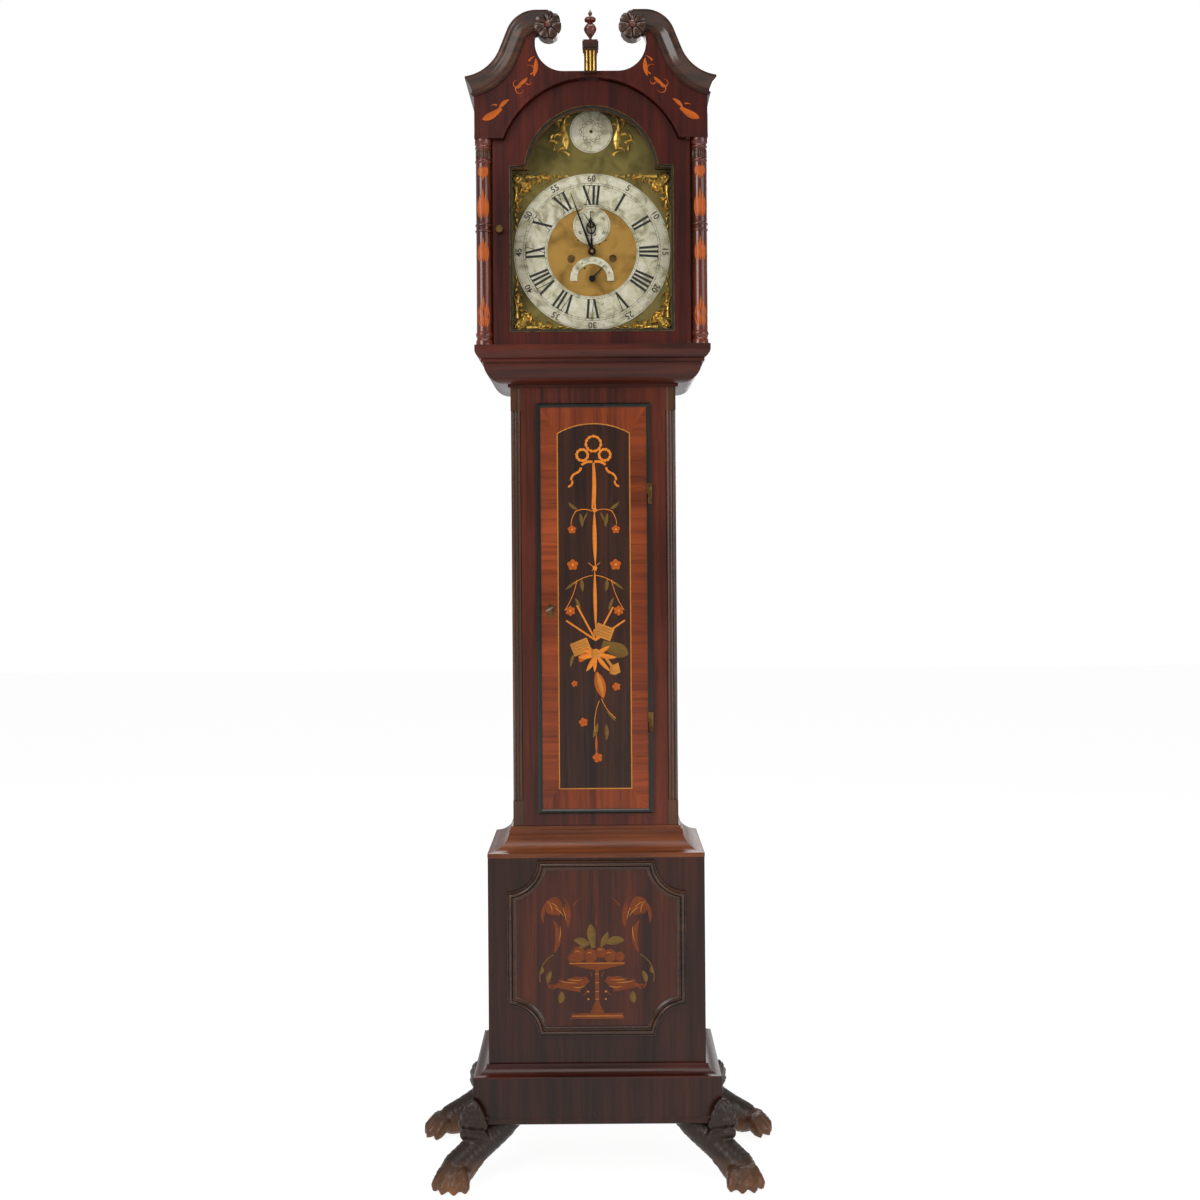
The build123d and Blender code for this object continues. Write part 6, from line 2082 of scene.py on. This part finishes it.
@dataclass
class PawFeet:
    """The four carved paws: a leg, four clawed toes and a leafy knee, blended into one form."""

    shop: Workshop
    voxel: float = 0.0032

    def build(self) -> None:
        """Build all four feet."""
        low, high = self.shop.box("paw_feet")
        plinth_low, plinth_high = self.shop.box("plinth")
        front = self.paw(
            root=Vector((plinth_high.x - 50, plinth_low.y + 40, 96)),
            paw=Vector((254.5, low.y + 57.5, 0)),
            heading=-78,
            knee=Vector((plinth_high.x - 5, plinth_low.y + 1, 98)),
        )
        rear = self.paw(
            root=Vector((plinth_high.x - 33, 107, 96)),
            paw=Vector((high.x - 56.4, 119.5, 0)),
            heading=-22,
            knee=Vector((plinth_high.x + 1, 101, 98)),
        )
        for shape, name in ((front, "front"), (rear, "rear")):
            for side, hand in ((1, "right"), (-1, "left")):
                copy = shape.copy()
                if side < 0:
                    bmesh.ops.scale(copy, vec=(-1, 1, 1), verts=copy.verts)
                self.finish(copy, f"{name}_{hand}_paw", plinth_low, plinth_high)
            shape.free()

    def blob(
        self, shape: bmesh.types.BMesh, centre: Vector, size: Vector, turn_z: float = 0.0, tilt: float = 0.0
    ) -> None:
        """Add one rounded mass.

        Args:
            shape: the shape that gets it.
            centre: its centre in millimetres.
            size: its half lengths in millimetres.
            turn_z: its heading in degrees.
            tilt: how far its nose dips, in degrees.
        """
        place = (
            Matrix.Translation(centre * MM)
            @ Matrix.Rotation(math.radians(turn_z), 4, "Z")
            @ Matrix.Rotation(math.radians(tilt), 4, "Y")
            @ Matrix.Diagonal((size * MM).to_4d())
        )
        place[3][3] = 1.0
        bmesh.ops.create_icosphere(shape, subdivisions=3, radius=1.0, matrix=place)

    def paw(self, root: Vector, paw: Vector, heading: float, knee: Vector) -> bmesh.types.BMesh:
        """The masses of one foot, overlapping, before they are blended.

        Args:
            root: where the leg leaves the case.
            paw: the middle of the sole.
            heading: the way that the toes point, in degrees.
            knee: where the leafy knee rises.

        Returns:
            The shape.
        """
        shape = bmesh.new()
        steps = 9
        for step in range(steps + 1):
            share = step / steps
            spot = root.lerp(Vector((paw.x, paw.y, 26)), share)
            spot.z = 96 - 66 * share**0.8
            width = 40 - 13 * math.sin(math.pi * min(1.0, share * 1.15) * 0.55)
            self.blob(shape, spot, Vector((30, width, 26)), heading)
        ahead = Vector((math.cos(math.radians(heading)), math.sin(math.radians(heading)), 0))
        across = Vector((-ahead.y, ahead.x, 0))
        self.blob(shape, paw + Vector((0, 0, 22)), Vector((34, 33, 23)), heading)
        for toe in range(4):
            turn_by = heading + 22 * (toe - 1.5)
            point = Vector((math.cos(math.radians(turn_by)), math.sin(math.radians(turn_by)), 0))
            length = 45.5 - 5 * (abs(toe - 1.5) - 0.5)
            for share, height, size in ((0.15, 26, 15), (0.42, 26, 14.2), (0.66, 18, 12.6), (0.84, 12, 10.5)):
                self.blob(
                    shape, paw + point * (12 + share * length) + Vector((0, 0, height)),
                    Vector((size * 1.15, size, size * 0.95)), turn_by
                )
            claw = paw + point * (12 + 0.95 * length) + Vector((0, 0, 6))
            self.blob(shape, claw, Vector((7.5, 4.6, 5.4)), turn_by, 25)
        for lock in range(7):
            share = lock / 6
            spot = root.lerp(paw, 0.2 + 0.6 * share)
            spot.z = 88 - 58 * share
            for side in (1, -1):
                self.blob(shape, spot + across * side * (25 - 6 * share), Vector((17, 6.5, 8)), heading, 38)
        for reach, height, width, thick in (
            (0, -14, 26, 14), (5, 8, 27, 13), (6, 24, 21, 10), (4, 36, 12, 8)
        ):
            self.blob(
                shape, knee + ahead * reach + Vector((0, 0, height)), Vector((thick, width, 13)), heading
            )
            for side in (1, -1):
                self.blob(
                    shape,
                    knee + ahead * (reach + 4) + across * side * width * 0.8 + Vector((0, 0, height - 3)),
                    Vector((6, 7, 9)), heading
                )
        return shape

    def finish(self, shape: bmesh.types.BMesh, name: str, plinth_low: Vector, plinth_high: Vector) -> None:
        """Blend one foot's masses, keep it clear of the plinth and seat it.

        Args:
            shape: the masses, which are used up.
            name: the piece's name.
            plinth_low: the plinth's lowest corner.
            plinth_high: the plinth's highest corner.
        """
        mesh = bpy.data.meshes.new(name)
        shape.to_mesh(mesh)
        shape.free()
        rough = bpy.data.objects.new(name + "_masses", mesh)
        bpy.context.collection.objects.link(rough)
        remesh = rough.modifiers.new("blend", "REMESH")
        remesh.mode, remesh.voxel_size = "VOXEL", self.voxel
        ease = rough.modifiers.new("ease", "SMOOTH")
        ease.factor, ease.iterations = 0.5, 4
        graph = bpy.context.evaluated_depsgraph_get()
        blended = bpy.data.meshes.new_from_object(rough.evaluated_get(graph))
        bpy.data.objects.remove(rough)
        low, high = self.shop.box("paw_feet")
        for vert in blended.vertices:
            x, y, z = vert.co / MM
            groove = 0.8 * math.sin(x * 0.9 + z * 0.35) * math.sin(y * 0.8 - z * 0.4)
            spot = vert.co + vert.normal * groove * MM
            spot.z = max(spot.z, 0.0)
            inside = (
                abs(spot.x) / MM < plinth_high.x and spot.y / MM > plinth_low.y
                and spot.y / MM < plinth_high.y
            )
            if inside and spot.z / MM > 97.6:
                gaps = (plinth_high.x - abs(spot.x) / MM, spot.y / MM - plinth_low.y, spot.z / MM - 97.6)
                if gaps[2] <= min(gaps[:2]):
                    spot.z = 97.6 * MM
                elif gaps[0] <= gaps[1]:
                    spot.x = math.copysign((plinth_high.x + 0.2) * MM, spot.x)
                else:
                    spot.y = (plinth_low.y - 0.2) * MM
            spot.x = max(low.x * MM, min(high.x * MM, spot.x))
            spot.y = max(low.y * MM, min(high.y * MM, spot.y))
            vert.co = spot
        blended.materials.clear()
        blended.materials.append(self.shop.palette.get("carved_wood"))
        blended.name = name
        blended.polygons.foreach_set("use_smooth", [True] * len(blended.polygons))
        piece = bpy.data.objects.new(name, blended)
        bpy.context.collection.objects.link(piece)
        self.shop.seat(piece, "case", "carved_wood", *(("paw_feet",) if name == "front_right_paw" else ()))


@dataclass
class Slip:
    """Painted shade round the hood door's glass: a dark band inside the sight edge standing in for the frame's
    shadow, and the bright line.
    """

    shop: Workshop

    def build(self) -> None:
        """Build the painted shade as a narrow dark band inside the frame's sight edge, with the bright line along
        its outer edge.
        """
        low, high = self.shop.box("hood_door_glass")
        frame_low = self.shop.box("hood_door_frame")[0]
        radius = 124.5
        centre = (0.0, high.z - radius)
        half = high.x
        shoulder = 1850.3
        meet = math.degrees(math.asin((shoulder - centre[1]) / radius))
        # painted shade: the first band is a dark sheet laid where the frame's shadow falls inside the sight edge
        for name, grow, width, finish, rise in (
            ("glass_slip", 0.0, 5.0, "dark_slip", 0.8), ("sight_bead", 0.0, 1.4, "old_brass", 1.2)
        ):
            band = Ornament(frame_low.y + 3.0 if name == "glass_slip" else frame_low.y + 0.5, rise)
            outer = self.outline(low.z, half, shoulder, radius, centre, meet, grow)
            inner = self.outline(low.z, half, shoulder, radius, centre, meet, -width)
            for index in range(len(outer)):
                after = (index + 1) % len(outer)
                band.slab([outer[index], outer[after], inner[after], inner[index]])
            band.done(name, self.shop.palette.get(finish), "hood_door")

    def outline(
        self, foot: float, half: float, shoulder: float, radius: float, centre: Point, meet: float,
        grow: float
    ) -> list[Point]:
        """The sight edge, grown outwards or shrunk inwards.

        Args:
            foot: the level of the bottom edge.
            half: half the width.
            shoulder: the level of the shoulders.
            radius: the arch's radius.
            centre: the arch's centre.
            meet: the angle where the arch leaves the shoulders.
            grow: how far outside the edge.

        Returns:
            The corners.
        """
        arch = ring_points(radius + grow, meet, 180 - meet, 40, centre)
        return [
            (-half - grow, foot - grow), (half + grow, foot - grow), (half + grow, shoulder + grow), *arch,
            (-half - grow, shoulder + grow)
        ]


@dataclass
class Studio:
    """The white floor, the lights and the camera at the photograph's place."""

    distance: float = 2.650
    eye: float = 1.124
    lens: float = 42.5
    roll: float = 0.4
    shift: Point = (0.0, -0.033)
    aside: float = 0.011

    def build(self, front: float) -> None:
        """Build the stage.

        Args:
            front: the depth of the trunk's front plane, in metres.
        """
        self.floor()
        self.world()
        for name, place, aim, size, power in (
            ("key", (-2.6, -3.0, 3.0), (0, 0, 1.1), 2.2, 95.0),
            ("fill", (2.8, -2.6, 1.6), (0, 0, 1.0), 2.4, 50.0),
            ("top", (0.0, -0.6, 4.0), (0, 0, 1.0), 2.0, 40.0),
            ("back", (0.6, 3.4, 2.6), (0, 0, 1.2), 2.4, 60.0),
        ):
            light = bpy.data.lights.new(name, "AREA")
            light.energy = power
            light.size = size
            lamp = bpy.data.objects.new(name, light)
            lamp.location = place
            lamp.rotation_euler = (Vector(aim) - Vector(place)).to_track_quat("-Z", "Y").to_euler()
            bpy.context.collection.objects.link(lamp)
        camera = bpy.data.cameras.new("camera")
        camera.lens = self.lens
        camera.sensor_width = 36.0
        camera.shift_x, camera.shift_y = self.shift
        eye = bpy.data.objects.new("camera", camera)
        eye.location = (self.aside, front - self.distance, self.eye)
        eye.rotation_euler = (math.pi / 2, math.radians(self.roll), 0.0)
        bpy.context.collection.objects.link(eye)
        bpy.context.scene.camera = eye
        bpy.context.scene.view_settings.view_transform = "Standard"

    def floor(self) -> None:
        """A white floor that keeps a faint shadow."""
        shape = bmesh.new()
        bmesh.ops.create_grid(shape, x_segments=1, y_segments=1, size=12.0)
        recipe = Recipe("white_floor")
        recipe.shader.inputs["Base Color"].default_value = (0.9, 0.9, 0.9, 1)
        recipe.shader.inputs["Roughness"].default_value = 0.9
        glow = recipe.add("ShaderNodeEmission")
        glow.inputs["Color"].default_value = (1, 1, 1, 1)
        glow.inputs["Strength"].default_value = 1.08
        mix, seen = recipe.add("ShaderNodeMixShader"), recipe.add("ShaderNodeLightPath")
        times = recipe.add("ShaderNodeMath", operation="MULTIPLY")
        times.inputs[1].default_value = 0.86
        either, any_of = recipe.add(
            "ShaderNodeMath", operation="MAXIMUM"
        ), recipe.add("ShaderNodeMath", operation="MAXIMUM")
        recipe.join(seen.outputs["Is Camera Ray"], either.inputs[0])
        recipe.join(seen.outputs["Is Glossy Ray"], either.inputs[1])
        recipe.join(either.outputs[0], any_of.inputs[0])
        recipe.join(seen.outputs["Is Transmission Ray"], any_of.inputs[1])
        recipe.join(any_of.outputs[0], times.inputs[0])
        recipe.join(times.outputs[0], mix.inputs["Fac"])
        recipe.join(recipe.shader.outputs[0], mix.inputs[1])
        recipe.join(glow.outputs[0], mix.inputs[2])
        recipe.join(mix.outputs[0], recipe.tree.nodes["Material Output"].inputs["Surface"])
        floor = finished("floor", shape, recipe.material, 0.0)

    def world(self) -> None:
        """An even pale sky, pure white where the camera sees it."""
        world = bpy.data.worlds.new("world")
        bpy.context.scene.world = world
        world.use_nodes = True
        tree = world.node_tree
        sky = tree.nodes["Background"]
        path, pick = tree.nodes.new("ShaderNodeLightPath"), tree.nodes.new("ShaderNodeMix")
        pick.inputs[2].default_value, pick.inputs[3].default_value = 0.42, 1.0
        either = tree.nodes.new("ShaderNodeMath")
        either.operation = "MAXIMUM"
        tree.links.new(path.outputs["Is Camera Ray"], either.inputs[0])
        tree.links.new(path.outputs["Is Transmission Ray"], either.inputs[1])
        tree.links.new(either.outputs[0], pick.inputs[0])
        tree.links.new(pick.outputs[0], sky.inputs["Strength"])
        sky.inputs["Color"].default_value = (1, 1, 1, 1)


def main() -> None:
    """Load the frame, dress and add every piece, and set the stage."""
    logging.basicConfig(level=logging.INFO, format="%(message)s")
    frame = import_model()
    shop = Workshop(Palette(), RingRepeat())
    FrameFinishes(shop).dress(frame["nodes"])
    assemblies: Sequence[object] = (
        TrunkDoor(shop),
        BasePanel(shop),
        Pediment(shop),
        HoodColumns(shop),
        Dial(shop),
        Hands(shop),
        GoingParts(shop),
        Slip(shop),
        PawFeet(shop),
    )
    for assembly in assemblies:
        LOG.info("building %s", type(assembly).__name__)
        assembly.build()
    Studio().build(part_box("trunk_front_frame")[0][1])


if __name__ == "__main__":
    main()
